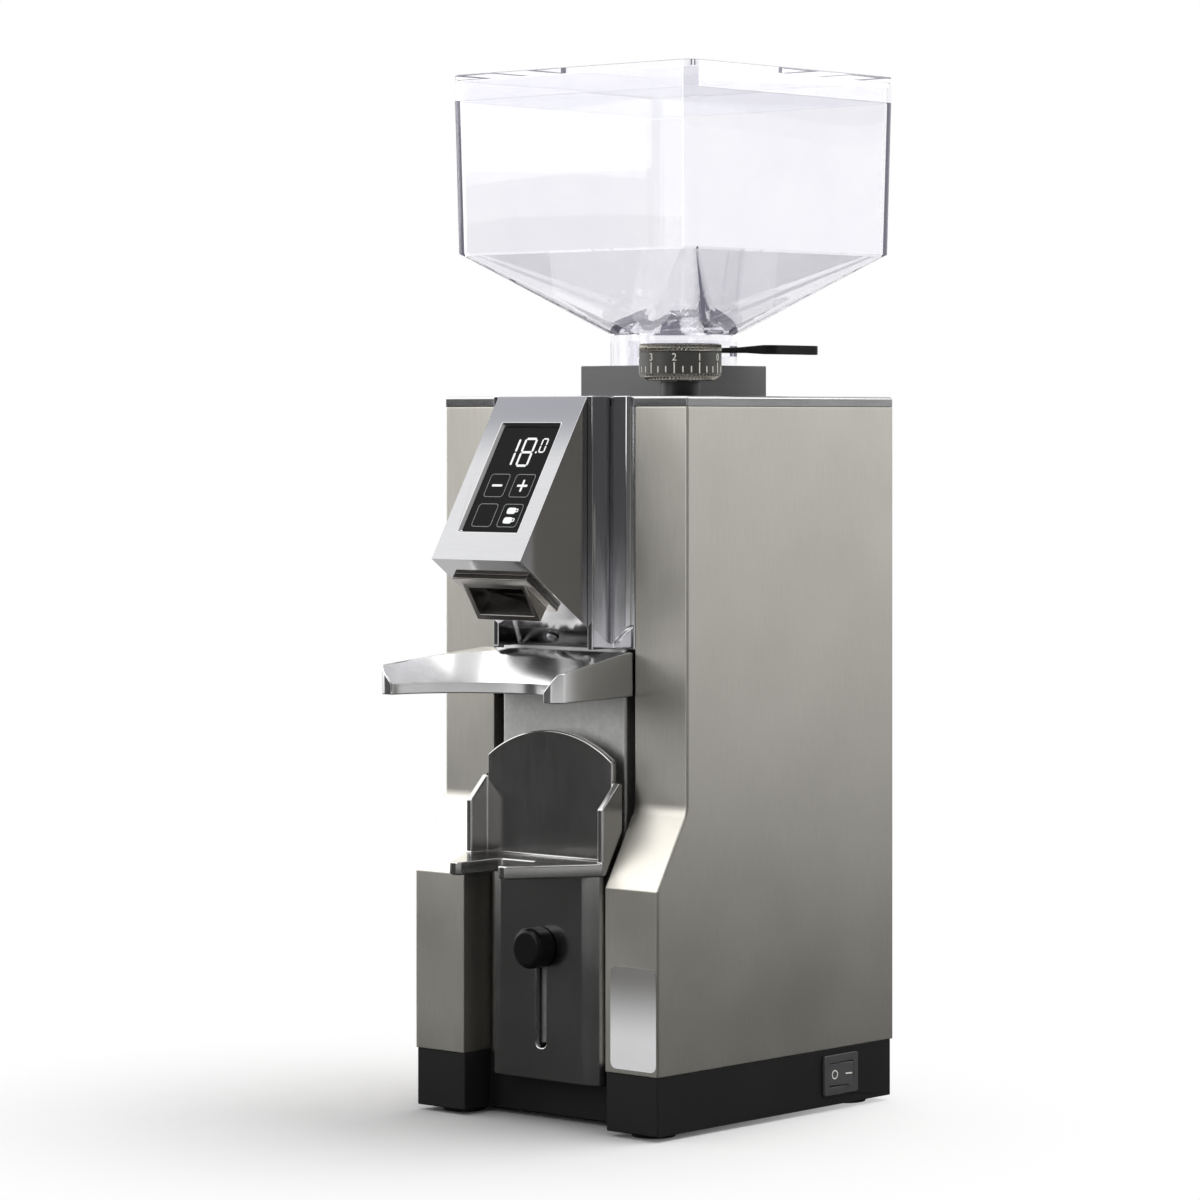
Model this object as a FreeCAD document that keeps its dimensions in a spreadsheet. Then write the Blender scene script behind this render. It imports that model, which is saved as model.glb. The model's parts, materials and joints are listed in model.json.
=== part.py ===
"""Dosing burr coffee grinder with a weighing fork, as a parametric document.

Lengths are in millimetres.  The part stands on its feet at z = 0, +Z is up, the
front faces -Y and the origin is the middle of the part on the table.  Every
size is a cell of the Sizes sheet; PLACES names what follows from those cells.
"""
import FreeCAD, Part
import math
import os
import re

import Sketcher
from FreeCAD import Placement, Rotation, Vector

SIZES = {
    # clearances
    "fit_gap": 0.1,
    "run_gap": 0.3,
    "shaft_gap": 0.05,
    # body shell
    "body_width": 120,
    "leg_front": 51.7,
    "panel_front": 35.3,
    "body_back": 85.3,
    "panel_wall": 1.5,
    "panel_height": 240.1,
    "leg_height": 66.5,
    "bend_height": 27.5,
    "bend_radius": 9,
    "bend_foot_radius": 1.5,
    "return_depth": 13.6,
    "top_thickness": 3.9,
    "top_edge_radius": 1,
    "panel_edge_radius": 1,
    # base
    "foot_height": 2,
    "foot_radius": 8,
    "foot_inset": 13,
    "base_height": 21.3,
    "base_wall": 2.5,
    "base_floor": 3,
    "base_inset": 0.6,
    "base_recess": 15,
    # front trim between the strips
    "trim_thickness": 3,
    "trim_bottom": 175,
    "fin_thickness": 2.4,
    "fin_depth": 11.5,
    "rib_width": 8.2,
    "rib_depth": 2,
    "rib_margin": 1,
    "rib_radius": 1.6,
    "rib_foot": 1.8,
    "rib_cut": 6.9,
    "backing_thickness": 2,
    "backing_gap": 4.2,
    "backing_fold": 6,
    "backing_edge_radius": 1.2,
    # display head
    "head_width": 44,
    "head_top_reach": 11.4,
    "head_reach": 47.4,
    "head_lip": 208,
    "head_wall": 2.2,
    "head_face": 4,
    "glass_width": 27,
    "glass_length": 44,
    "glass_thickness": 1.6,
    "glass_sink": 1.2,
    "glass_drop": 12.6,
    "display_board_thickness": 1.6,
    "display_board_margin": 4,
    # delivery chute
    "nozzle_width": 31,
    "nozzle_length": 15,
    "nozzle_wall": 2,
    "nozzle_height": 8.3,
    "nozzle_nose": 2,
    "nozzle_flange": 2.8,
    "nozzle_setback": 12.5,
    "duct_width": 26,
    "duct_height": 15,
    "duct_wall": 1.5,
    "flap_thickness": 1.2,
    "flap_pin_radius": 1,
    "flap_gap": 0.6,
    "flap_setback": 12,
    "flap_drop": 12,
    "flap_length": 10.5,
    "duct_boss": 2,
    # hood over the fork
    "hood_bottom": 158,
    "hood_height": 16,
    "hood_back_width": 69,
    "hood_front_width": 90,
    "hood_reach": 52.4,
    "hood_ledge": 6,
    "hood_fall": 5.6,
    "hood_bite_radius": 37.5,
    "hood_bite_centre": 55.4,
    "hood_rim_height": 4,
    "hood_funnel_radius": 49,
    "hood_slot_height": 10.5,
    "hood_edge_radius": 3.5,
    # weighing fork
    "fork_top": 98.2,
    "shelf_thickness": 4.8,
    "shelf_width": 68,
    "shelf_reach": 46.4,
    "shelf_tip_width": 28,
    "shelf_notch_width": 18,
    "shelf_notch_depth": 22,
    "shelf_corner": 2,
    "cheek_thickness": 3,
    "cheek_depth": 11,
    "cheek_height": 28.5,
    "cheek_slant": 9,
    "apron_width": 55.4,
    "apron_drop": 77.1,
    "apron_thickness": 2.5,
    "apron_setback": 4,
    "apron_flange_depth": 5.4,
    "apron_edge_radius": 4,
    "back_wall_setback": 8.5,
    "back_wall_thickness": 2.5,
    "back_wall_width": 62,
    "back_wall_shoulder": 36,
    "back_wall_crown": 10.3,
    # fork clamp and weighing cell
    "stud_height": 65.3,
    "stud_radius": 2,
    "slot_length": 37,
    "slot_play": 0.4,
    "slot_corner": 2.2,
    "clamp_knob_radius": 7.5,
    "clamp_knob_length": 8,
    "clamp_knob_rounding": 2.2,
    "carrier_thickness": 6.4,
    "carrier_bottom": 30,
    "carrier_height": 56,
    "cell_width": 12,
    "cell_length": 50,
    "cell_bottom": 68,
    "cell_window": 5,
    "cell_window_radius": 3.75,
    "cell_gap": 6,
    "cell_foot": 15,
    "cell_play": 0.6,
    # grinding set
    "grind_axis": 27.3,
    "throat_radius": 14.5,
    "burr_radius": 27.5,
    "burr_bore": 12.5,
    "burr_thickness": 6.5,
    "burr_tooth_depth": 1.2,
    "burr_tooth_width": 1.4,
    "burr_tooth_count": 18,
    "burr_gap": 0.6,
    "burr_screw_radius": 2,
    "burr_screw_circle": 20.5,
    "burr_screw_sink": 1.5,
    "burr_screw_grip": 3,
    "burr_screw_count": 3,
    "holder_flange": 7.4,
    "holder_plug": 6,
    "disc_thickness": 7,
    "disc_radius": 30,
    "vane_length": 4,
    "vane_width": 6,
    "vane_count": 4,
    "sweep_gap": 1.2,
    "chamber_radius": 41,
    "chamber_bore": 36.5,
    "chamber_floor": 4,
    "chamber_shaft_hole": 8,
    "lug_width": 16,
    "lug_height": 12,
    # motor
    "bell_height": 16,
    "bell_radius": 41,
    "bell_wall": 4,
    "stator_height": 85,
    "stator_bore": 26.5,
    "rotor_gap": 0.5,
    "rotor_inset": 6,
    "lower_bell_height": 15,
    "shaft_radius": 6,
    "bearing_radius": 14,
    "bearing_width": 9,
    "tie_bolt_radius": 2,
    "tie_bolt_circle": 34,
    "tie_bolt_count": 4,
    "fan_thickness": 2,
    "fan_radius": 23,
    "blade_count": 8,
    "shaft_nut_radius": 9,
    "shaft_nut_height": 5,
    # grind adjustment
    "spindle_across": 36.6,
    "spindle_ahead": 39.1,
    "spindle_radius": 4,
    "dial_radius": 15.2,
    "dial_rim": 0.6,
    "dial_bottom": 273,
    "dial_height": 13.8,
    "dial_skirt": 4,
    "dial_hollow": 2.4,
    "stem_radius": 7.4,
    "bush_radius": 6,
    "boss_height": 14,
    "boss_wall": 3,
    "cup_radius": 8.2,
    "cup_height": 10,
    "cup_drop": 1,
    "cup_pin_radius": 3,
    "cup_pin_length": 4,
    "lever_thickness": 8,
    "lever_width": 16,
    "lever_tail": 28,
    "lever_end": 6,
    "lever_nose": 4,
    "lever_slot_play": 1,
    "nut_height": 9,
    "nut_width": 12,
    "pivot_radius": 2.5,
    "pivot_cheek": 4,
    # chassis
    "chassis_top": 63,
    "chassis_thickness": 3,
    "chassis_margin": 4,
    "upright_width": 36,
    "upright_thickness": 3,
    "upright_place": 50,
    "post_radius": 4,
    "post_inset": 15,
    "bolt_radius": 2.5,
    "bolt_head_radius": 4.5,
    "bolt_head_height": 3,
    "bolt_grip": 8,
    # electrics
    "board_width": 84,
    "board_depth": 62,
    "board_thickness": 1.6,
    "board_lift": 6,
    "standoff_radius": 3,
    "relay_width": 20,
    "relay_height": 16,
    "transformer_width": 34,
    "transformer_height": 26,
    "capacitor_radius": 12,
    "capacitor_height": 62,
    "capacitor_across": 43,
    "capacitor_behind": 41,
    "switch_place": 53.3,
    "switch_height": 13.5,
    "switch_length": 20.2,
    "switch_width": 15,
    "switch_rim": 2,
    "switch_rim_height": 1.2,
    "switch_corner": 1.2,
    "switch_depth": 14,
    "switch_skin": 1,
    "rocker_seat": 3,
    "rocker_rise": 1.6,
    "rocker_play": 0.8,
    "rocker_tilt": 9,
    "rocker_pin_radius": 1,
    "gland_height": 38,
    "gland_radius": 7,
    "gland_flange": 10,
    "gland_length": 9,
    "gland_bore": 3.5,
    "vent_width": 56,
    "vent_height": 3.2,
    "vent_corner": 1.4,
    "vent_pitch": 9,
    "vent_count": 9,
    "vent_bottom": 120,
    "panel_screw_radius": 1.5,
    "panel_screw_head": 3,
    "panel_screw_inset": 12,
    # hopper
    "collar_width": 50,
    "collar_height": 11.7,
    "hopper_width": 120,
    "hopper_depth": 120.8,
    "hopper_wall": 2.6,
    "hopper_corner": 5,
    "hopper_taper": 1.3,
    "neck_radius": 24,
    "neck_flat": 0.8,
    "neck_height": 12,
    "funnel_height": 30.4,
    "hopper_height": 57.6,
    "rim_height": 7.6,
    "lid_top": 2.2,
    "lid_skirt": 1.2,
    "gate_width": 30,
    "gate_thickness": 1.2,
    "gate_rise": 5.5,
    "gate_reach": 60,
    "gate_tongue": 0.8,
    "gate_tab_length": 15,
    "gate_tab_thickness": 3.4,
    "gate_corner": 4,
}

PLACES = {
    # heights of the shell
    "half_width": "body_width / 2",
    "head_half": "head_width / 2",
    "fin_outer": "head_half + fit_gap + fin_thickness",
    "trim_half": "fin_outer + rib_width + 2 * rib_margin",
    "strip_inner": "trim_half + run_gap",
    "strip_width": "half_width - strip_inner",
    "base_top": "foot_height + base_height",
    "floor_top": "foot_height + base_floor",
    "leg_top": "base_top + leg_height",
    "bend_top": "leg_top + bend_height",
    "panel_top": "base_top + panel_height",
    "roof": "panel_top + top_thickness",
    "return_back": "panel_front - return_depth",
    # display head: reaches are measured from the upper front plane
    "head_top_front": "panel_front + head_top_reach",
    "head_front": "panel_front + head_reach",
    "head_slope_run": "head_reach - head_top_reach",
    "head_slope_drop": "roof - head_lip",
    "head_slope": "sqrt(head_slope_run ^ 2 + head_slope_drop ^ 2)",
    "under_drop": "head_lip - trim_bottom",
    "under_slope": "sqrt(head_reach ^ 2 + under_drop ^ 2)",
    # hood
    "hood_top": "hood_bottom + hood_height",
    "hood_front": "panel_front + hood_reach",
    "hood_bite_y": "panel_front + hood_bite_centre",
    # fork: set back from the legs' front plane
    "shelf_bottom": "fork_top - shelf_thickness",
    "apron_front": "leg_front - apron_setback",
    "apron_back": "apron_front - apron_thickness",
    "back_wall_front": "leg_front - back_wall_setback",
    "back_wall_back": "back_wall_front - back_wall_thickness",
    "shelf_front": "panel_front + shelf_reach",
    "carrier_front": "apron_back - run_gap",
    "carrier_back": "carrier_front - carrier_thickness",
    "cell_front": "carrier_back - cell_gap",
    # grinding stack, from the roof down
    "holder_rim": "panel_top - holder_flange",
    "holder_seat": "holder_rim - holder_plug",
    "upper_burr_face": "holder_seat - burr_thickness",
    "lower_burr_face": "upper_burr_face - burr_gap",
    "disc_top": "lower_burr_face - burr_thickness",
    "disc_bottom": "disc_top - disc_thickness",
    "chamber_deck": "disc_bottom - sweep_gap",
    "chamber_base": "chamber_deck - chamber_floor",
    "bell_base": "chamber_base - bell_height",
    "stator_base": "bell_base - stator_height",
    "lower_bell_base": "stator_base - lower_bell_height",
    "boss_base": "lower_bell_base - boss_height",
    "cup_top": "boss_base + cup_height - cup_drop",
    "cup_base": "cup_top - cup_height",
    "cup_tip": "cup_base - cup_pin_length",
    "lever_top": "cup_tip - run_gap",
    "lever_base": "lever_top - lever_thickness",
    "lever_middle": "lever_top - lever_thickness / 2",
    "nut_top": "lever_base - run_gap",
    "chassis_base": "chassis_top - chassis_thickness",
    "spindle_y": "grind_axis - spindle_ahead",
    "spindle_reach": "sqrt(spindle_across ^ 2 + spindle_ahead ^ 2)",
    "holder_radius": "chamber_bore - fit_gap",
    "shaft_bore": "shaft_radius + shaft_gap",
    "boss_bore": "cup_radius + shaft_gap",
    # hopper, from the roof up
    "collar_top": "roof + collar_height",
    "funnel_bottom": "collar_top + neck_height",
    "crease": "funnel_bottom + funnel_height",
    "skirt_bottom": "crease + hopper_height",
    "rim_top": "skirt_bottom + rim_height",
    "lid_z": "rim_top + fit_gap",
    "gate_z": "collar_top + gate_rise",
}

WORD = re.compile(r"[a-z_][a-z_0-9]*")
NODES = []

doc = FreeCAD.newDocument("coffee_grinder")
sheet = doc.addObject("Spreadsheet::Sheet", "Sizes")
for row, (alias, number) in enumerate(SIZES.items(), start=1):
    sheet.set(f"A{row}", alias)
    sheet.set(f"B{row}", str(number))
    sheet.setAlias(f"B{row}", alias)
doc.recompute()


def formula(text):
    """Spell a formula out in cells of the sheet."""
    def spell(match):
        word = match.group()
        if word in PLACES:
            return "(" + formula(PLACES[word]) + ")"
        if word in SIZES:
            return "Sizes." + word
        return word
    return WORD.sub(spell, str(text))


def number(text):
    """The value of a formula at the sheet's sizes."""
    return float(sheet.evalExpression(formula(text)))


def bind(item, **formulas):
    """Tie properties to the sheet; a double underscore stands for a dot."""
    for name, text in formulas.items():
        item.setExpression(name.replace("__", "."), formula(text))
    return item


def place(item, x="0", y="0", z="0"):
    """Tie an object's position to the sheet."""
    return bind(item, Placement__Base__x=x, Placement__Base__y=y, Placement__Base__z=z)


def turn(item, axis, angle):
    """Turn an object about an axis through its own origin, by a formula in degrees.

    An angle other than zero makes the placement keep its axis until the formula is worked out.
    """
    item.Placement = Placement(Vector(), Rotation(axis, 90))
    return bind(item, Placement__Rotation__Angle=angle)


def node(item, label):
    """Name a sub-part and list it for export."""
    item.Label = label
    NODES.append(item)
    return item


def new_body(label):
    """A PartDesign body that is a sub-part."""
    return node(doc.addObject("PartDesign::Body", label), label)


def new_sketch(body, plane, offset="0"):
    """A sketch on one of the body's own planes, shifted along the plane's normal.

    XY looks along -Z, YZ has +X as its normal, and XZ has -Y as its normal.
    """
    sketch = body.newObject("Sketcher::SketchObject", body.Name + "_sketch")
    role = plane + "_Plane"
    support = next(item for item in body.Origin.OriginFeatures if item.Role == role)
    sketch.AttachmentSupport = [(support, "")]
    sketch.MapMode = "FlatFace"
    return bind(sketch, AttachmentOffset__Base__z=offset)


def hold(sketch, kind, text, *where):
    """Add a dimension that follows a formula."""
    index = sketch.addConstraint(Sketcher.Constraint(kind, *where, number(text)))
    sketch.setExpression(f"Constraints[{index}]", formula(text))


def pin(sketch, edge, end, x, y):
    """Hold one end of an edge, or a centre, at formulas for x and y."""
    hold(sketch, "DistanceX", x, -1, 1, edge, end)
    hold(sketch, "DistanceY", y, -1, 1, edge, end)


def polygon(sketch, corners, guide=False):
    """A closed outline of straight edges; returns its edges' numbers."""
    spots = [Vector(number(x), number(y), 0) for x, y in corners]
    count = len(spots)
    edges = []
    for i in range(count):
        line = Part.LineSegment(spots[i], spots[(i + 1) % count])
        edges.append(sketch.addGeometry(line, guide))
    for i in range(count):
        sketch.addConstraint(Sketcher.Constraint("Coincident", edges[i], 2, edges[(i + 1) % count], 1))
        pin(sketch, edges[i], 1, *corners[i])
    return edges


def rounded(sketch, corners, radius):
    """A closed outline whose corners are all rounded alike."""
    guides = polygon(sketch, corners, guide=True)
    spots = [Vector(number(x), number(y), 0) for x, y in corners]
    count = len(spots)
    size = number(radius)
    cuts = []
    for i in range(count):
        back = (spots[i - 1] - spots[i]).normalize()
        ahead = (spots[(i + 1) % count] - spots[i]).normalize()
        half = back.getAngle(ahead) / 2
        reach = size / math.tan(half)
        middle = spots[i] + (back + ahead).normalize() * (size / math.sin(half) - size)
        cuts.append((spots[i] + back * reach, middle, spots[i] + ahead * reach))
    lines = []
    for i in range(count):
        line = Part.LineSegment(cuts[i][2], cuts[(i + 1) % count][0])
        lines.append(sketch.addGeometry(line))
        sketch.addConstraint(Sketcher.Constraint("PointOnObject", lines[i], 1, guides[i]))
        sketch.addConstraint(Sketcher.Constraint("PointOnObject", lines[i], 2, guides[i]))
    for i in range(count):
        arc = sketch.addGeometry(Part.Arc(*cuts[i]))
        starts_here = sketch.Geometry[arc].StartPoint.distanceToPoint(cuts[i][0]) < 1e-6
        first, last = (1, 2) if starts_here else (2, 1)
        sketch.addConstraint(Sketcher.Constraint("Tangent", lines[i - 1], 2, arc, first))
        sketch.addConstraint(Sketcher.Constraint("Tangent", lines[i], 1, arc, last))
        hold(sketch, "Radius", radius, arc)


def circle(sketch, x, y, radius):
    """A whole circle."""
    centre = Vector(number(x), number(y), 0)
    edge = sketch.addGeometry(Part.Circle(centre, Vector(0, 0, 1), number(radius)))
    pin(sketch, edge, 3, x, y)
    hold(sketch, "Radius", radius, edge)


def rectangle(left, right, bottom, top):
    """The corners of an upright rectangle, counter-clockwise."""
    return [(left, bottom), (right, bottom), (right, top), (left, top)]


def add(body, sketch, length, backward=False):
    """Pad a sketch along its normal, or against it."""
    feature = body.newObject("PartDesign::Pad", body.Name + "_pad")
    feature.Profile = sketch
    feature.Reversed = backward
    bind(feature, Length=length)
    doc.recompute()
    return feature


def remove(body, sketch, length, backward=False):
    """Pocket a sketch against its normal, or along it, and make sure that it cuts."""
    before = body.Shape.Volume
    feature = body.newObject("PartDesign::Pocket", body.Name + "_pocket")
    feature.Profile = sketch
    feature.Reversed = backward
    bind(feature, Length=length)
    doc.recompute()
    if body.Shape.Volume > before - 1e-3:
        raise ValueError(body.Label + ": a pocket cuts nothing")
    return feature


def spin(body, corners):
    """Turn an outline of radii and heights about the body's own Z axis."""
    sketch = new_sketch(body, "XZ")
    polygon(sketch, corners)
    feature = body.newObject("PartDesign::Revolution", body.Name + "_turned")
    feature.Profile = sketch
    feature.ReferenceAxis = (sketch, ["V_Axis"])
    feature.Angle = 360
    doc.recompute()
    return feature


def repeat_round(body, feature, count):
    """Repeat a feature evenly about the body's own Z axis."""
    pattern = body.newObject("PartDesign::PolarPattern", body.Name + "_ring")
    axis = next(item for item in body.Origin.OriginFeatures if item.Role == "Z_Axis")
    pattern.Originals = [feature]
    pattern.Axis = (axis, [""])
    pattern.Angle = 360
    bind(pattern, Occurrences=count)
    body.Tip = pattern
    doc.recompute()


def ease(body, radius, wanted):
    """Round the edges of a body for which wanted(edge) holds."""
    base = body.Tip
    names = [f"Edge{i}" for i, edge in enumerate(base.Shape.Edges, start=1) if wanted(edge)]
    feature = body.newObject("PartDesign::Fillet", body.Name + "_round")
    feature.Base = (base, names)
    bind(feature, Radius=radius)
    doc.recompute()


def upright(edge):
    """Whether an edge is straight and runs along Z."""
    box = edge.BoundBox
    return max(box.XLength, box.YLength) < 1e-6


def near(value, text):
    """Whether a coordinate lies at a formula's value."""
    return abs(value - number(text)) < 1e-4


def block(name, size, corner):
    """A box from its three sizes and its lowest corner."""
    item = doc.addObject("Part::Box", name)
    bind(item, Length=size[0], Width=size[1], Height=size[2])
    return place(item, *corner)


def rod(name, radius, height, foot):
    """An upright cylinder from the middle of its foot."""
    item = doc.addObject("Part::Cylinder", name)
    bind(item, Radius=radius, Height=height)
    return place(item, *foot)


def joined(name, items):
    """One solid out of several."""
    fusion = doc.addObject("Part::MultiFuse", name)
    fusion.Shapes = items
    return fusion


def cut(name, base, tools):
    """One solid less several others."""
    tool = tools[0] if len(tools) == 1 else joined(name + "_tools", tools)
    result = doc.addObject("Part::Cut", name)
    result.Base = base
    result.Tool = tool
    return result


def group(label, items):
    """Separate solids that share one node."""
    compound = doc.addObject("Part::Compound", label)
    compound.Links = items
    return node(compound, label)


def make_base():
    """Black tray under the body, with a recess between the legs, and its four feet."""
    tray = new_body("base_tray")
    outer = "half_width - base_inset"
    front = "-(leg_front - base_inset)"
    back = "body_back - base_inset"
    recess = "-(leg_front - base_recess)"
    sketch = new_sketch(tray, "XY", "foot_height")
    polygon(sketch, [
        (f"-({outer})", front), ("-strip_inner", front), ("-strip_inner", recess),
        ("strip_inner", recess), ("strip_inner", front), (outer, front),
        (outer, back), (f"-({outer})", back)])
    add(tray, sketch, "base_height")
    inner = f"{outer} - base_wall"
    leg = "strip_inner + base_wall"
    sketch = new_sketch(tray, "XY", "base_top")
    polygon(sketch, [
        (f"-({inner})", f"{front} + base_wall"), (f"-({leg})", f"{front} + base_wall"),
        (f"-({leg})", f"{recess} + base_wall"), (leg, f"{recess} + base_wall"),
        (leg, f"{front} + base_wall"), (inner, f"{front} + base_wall"),
        (inner, f"{back} - base_wall"), (f"-({inner})", f"{back} - base_wall")])
    remove(tray, sketch, "base_height - base_floor")
    sketch = new_sketch(tray, "YZ", f"{outer} - base_wall - fit_gap")
    half_length = "switch_length / 2 - switch_rim + fit_gap"
    half_height = "switch_width / 2 - switch_rim + fit_gap"
    polygon(sketch, rectangle(
        f"switch_place - ({half_length})", f"switch_place + ({half_length})",
        f"switch_height - ({half_height})", f"switch_height + ({half_height})"))
    remove(tray, sketch, "base_wall + 2 * fit_gap", backward=True)
    feet = []
    for x in ("-(half_width - foot_inset)", "half_width - foot_inset"):
        for y in ("-(leg_front - foot_inset)", "body_back - foot_inset"):
            feet.append(rod("foot", "foot_radius", "foot_height", (x, y, "0")))
    group("rubber_feet", feet)


def make_side_panel(label, side):
    """Folded steel side: the flat, the strip round the front corner and its return."""
    panel = new_body(label)
    outside = "half_width" if side > 0 else "-strip_inner"
    sketch = new_sketch(panel, "YZ", f"{outside} - strip_width")
    polygon(sketch, [
        ("body_back", "base_top"), ("body_back", "panel_top"), ("-panel_front", "panel_top"),
        ("-panel_front", "bend_top"), ("-leg_front", "leg_top"), ("-leg_front", "base_top")])
    add(panel, sketch, "strip_width")
    for radius, height in (("bend_radius", "bend_top"), ("bend_foot_radius", "leg_top")):
        ease(panel, radius, lambda edge: (
            edge.BoundBox.XLength > number("panel_wall") and near(edge.CenterOfMass.z, height)))
    sketch = new_sketch(panel, "YZ", f"{outside} - strip_width + panel_wall")
    slack = "strip_width"
    polygon(sketch, [
        (f"body_back + {slack}", f"base_top - {slack}"), (f"body_back + {slack}", f"panel_top + {slack}"),
        ("panel_wall - panel_front", f"panel_top + {slack}"), ("panel_wall - panel_front", "bend_top"),
        ("panel_wall - leg_front", "leg_top"), ("panel_wall - leg_front", f"base_top - {slack}")])
    remove(panel, sketch, "strip_width - 2 * panel_wall", backward=True)
    inside = "strip_inner" if side > 0 else "-strip_inner - panel_wall"
    sketch = new_sketch(panel, "YZ", inside)
    polygon(sketch, rectangle("-return_back", f"body_back + {slack}",
                              f"base_top - {slack}", f"panel_top + {slack}"))
    remove(panel, sketch, "panel_wall", backward=True)
    ease(panel, "panel_edge_radius", lambda edge: (
        upright(edge)
        and near(abs(edge.CenterOfMass.x), "half_width")
        and edge.CenterOfMass.y < 0))


def make_rear_panel():
    """Flat back with a ladder of vents and a hole for the cable gland."""
    panel = new_body("rear_panel")
    half = "half_width - panel_wall - fit_gap"
    sketch = new_sketch(panel, "XZ", "-body_back")
    polygon(sketch, rectangle(f"-({half})", half, "base_top", "panel_top"))
    circle(sketch, "0", "gland_height", "gland_radius + fit_gap")
    add(panel, sketch, "panel_wall")
    sketch = new_sketch(panel, "XZ", "panel_wall - body_back")
    rounded(sketch, rectangle("-vent_width / 2", "vent_width / 2",
                              "vent_bottom", "vent_bottom + vent_height"), "vent_corner")
    vent = remove(panel, sketch, "panel_wall")
    pattern = panel.newObject("PartDesign::LinearPattern", "rear_panel_vents")
    axis = next(item for item in panel.Origin.OriginFeatures if item.Role == "Z_Axis")
    pattern.Originals = [vent]
    pattern.Direction = (axis, [""])
    bind(pattern, Length="vent_pitch * (vent_count - 1)", Occurrences="vent_count")
    panel.Tip = pattern
    doc.recompute()
    screws = []
    for x in ("-(half_width - panel_screw_inset)", "half_width - panel_screw_inset"):
        for z in ("base_top + panel_screw_inset", "panel_top - panel_screw_inset"):
            head = rod("panel_screw", "panel_screw_head", "panel_screw_radius", (x, "body_back", z))
            turn(head, Vector(1, 0, 0), "-90")
            screws.append(head)
    group("rear_screws", screws)


def make_top_cover():
    """Thick top plate with the bean throat and the hole for the dial's bush."""
    cover = new_body("top_cover")
    sketch = new_sketch(cover, "XY", "panel_top")
    polygon(sketch, rectangle("-half_width", "half_width", "-panel_front", "body_back"))
    circle(sketch, "0", "grind_axis", "throat_radius")
    circle(sketch, "spindle_across", "spindle_y", "bush_radius + fit_gap")
    add(cover, sketch, "top_thickness")
    ease(cover, "top_edge_radius", lambda edge: (
        near(edge.CenterOfMass.z, "roof") and edge.BoundBox.DiagonalLength > number("4 * throat_radius")))


def make_front_trim():
    """Polished plate between the strips, with a fin and a rib on each side of the head."""
    trim = new_body("front_trim")
    face = "-panel_front"
    fin_inner = "head_half + fit_gap"
    rib_inner = "fin_outer + rib_margin"
    rib_outer = "trim_half - rib_margin"
    right = [
        ("trim_half", face), (rib_outer, face), (rib_outer, f"{face} - rib_depth"),
        (rib_inner, f"{face} - rib_depth"), (rib_inner, face), ("fin_outer", face),
        ("fin_outer", f"{face} - fin_depth"), (fin_inner, f"{face} - fin_depth"), (fin_inner, face)]
    left = [(f"-({x})", y) for x, y in reversed(right)]
    back = [("-trim_half", f"{face} + trim_thickness"), ("trim_half", f"{face} + trim_thickness")]
    sketch = new_sketch(trim, "XY", "trim_bottom")
    polygon(sketch, right + left + back)
    add(trim, sketch, "roof - trim_bottom")
    sketch = new_sketch(trim, "XZ", "panel_front - trim_thickness")
    half = "duct_width / 2 + duct_wall + 2 * fit_gap"
    polygon(sketch, rectangle(
        f"-({half})", half, "trim_bottom + trim_thickness", "panel_top - trim_thickness"))
    remove(trim, sketch, "trim_thickness", backward=True)
    sketch = new_sketch(trim, "YZ", "-trim_half")
    polygon(sketch, rectangle(face, f"{face} + trim_thickness", "panel_top", "roof"))
    remove(trim, sketch, "2 * trim_half", backward=True)
    ease(trim, "rib_radius", lambda edge: (
        upright(edge) and near(edge.CenterOfMass.y, f"{face} - rib_depth")))
    foot = "trim_bottom + rib_foot"
    for sign in ("", "-"):
        sketch = new_sketch(trim, "XZ", "panel_front + rib_depth")
        corners = [
            (f"{sign}({rib_inner})", "trim_bottom"), (f"{sign}({rib_outer})", "trim_bottom"),
            (f"{sign}({rib_outer})", f"{foot} + rib_cut"), (f"{sign}({rib_inner})", foot)]
        polygon(sketch, corners if sign == "" else corners[::-1])
        remove(trim, sketch, "rib_depth")


def make_backing():
    """Plate behind the fork, its sides folded back past the deck, with a window for the weighing arm."""
    plate = new_body("fork_backing")
    half = "(trim_half - backing_gap)"
    inner = "(trim_half - backing_gap - backing_thickness)"
    back = "backing_thickness - panel_front"
    fold = "backing_fold - panel_front"
    sketch = new_sketch(plate, "XY", "base_top")
    polygon(sketch, [
        (f"-{half}", "-panel_front"), (half, "-panel_front"), (half, fold), (inner, fold),
        (inner, back), (f"-{inner}", back), (f"-{inner}", fold), (f"-{half}", fold)])
    add(plate, sketch, "trim_bottom - base_top")
    sketch = new_sketch(plate, "XZ", "panel_front")
    polygon(sketch, rectangle(
        "cell_length / 2 - cell_foot - cell_play", "cell_length / 2 + cell_play",
        "cell_bottom - cell_play", "cell_bottom + cell_width + cell_play"))
    remove(plate, sketch, "backing_thickness")
    sketch = new_sketch(plate, "YZ", "-trim_half")
    polygon(sketch, rectangle(back, f"{fold} + run_gap", "chassis_base - run_gap", "chassis_top + run_gap"))
    remove(plate, sketch, "2 * trim_half", backward=True)
    ease(plate, "backing_edge_radius", lambda edge: (
        upright(edge)
        and near(edge.CenterOfMass.y, "-panel_front")
        and near(abs(edge.CenterOfMass.x), half)))


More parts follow.
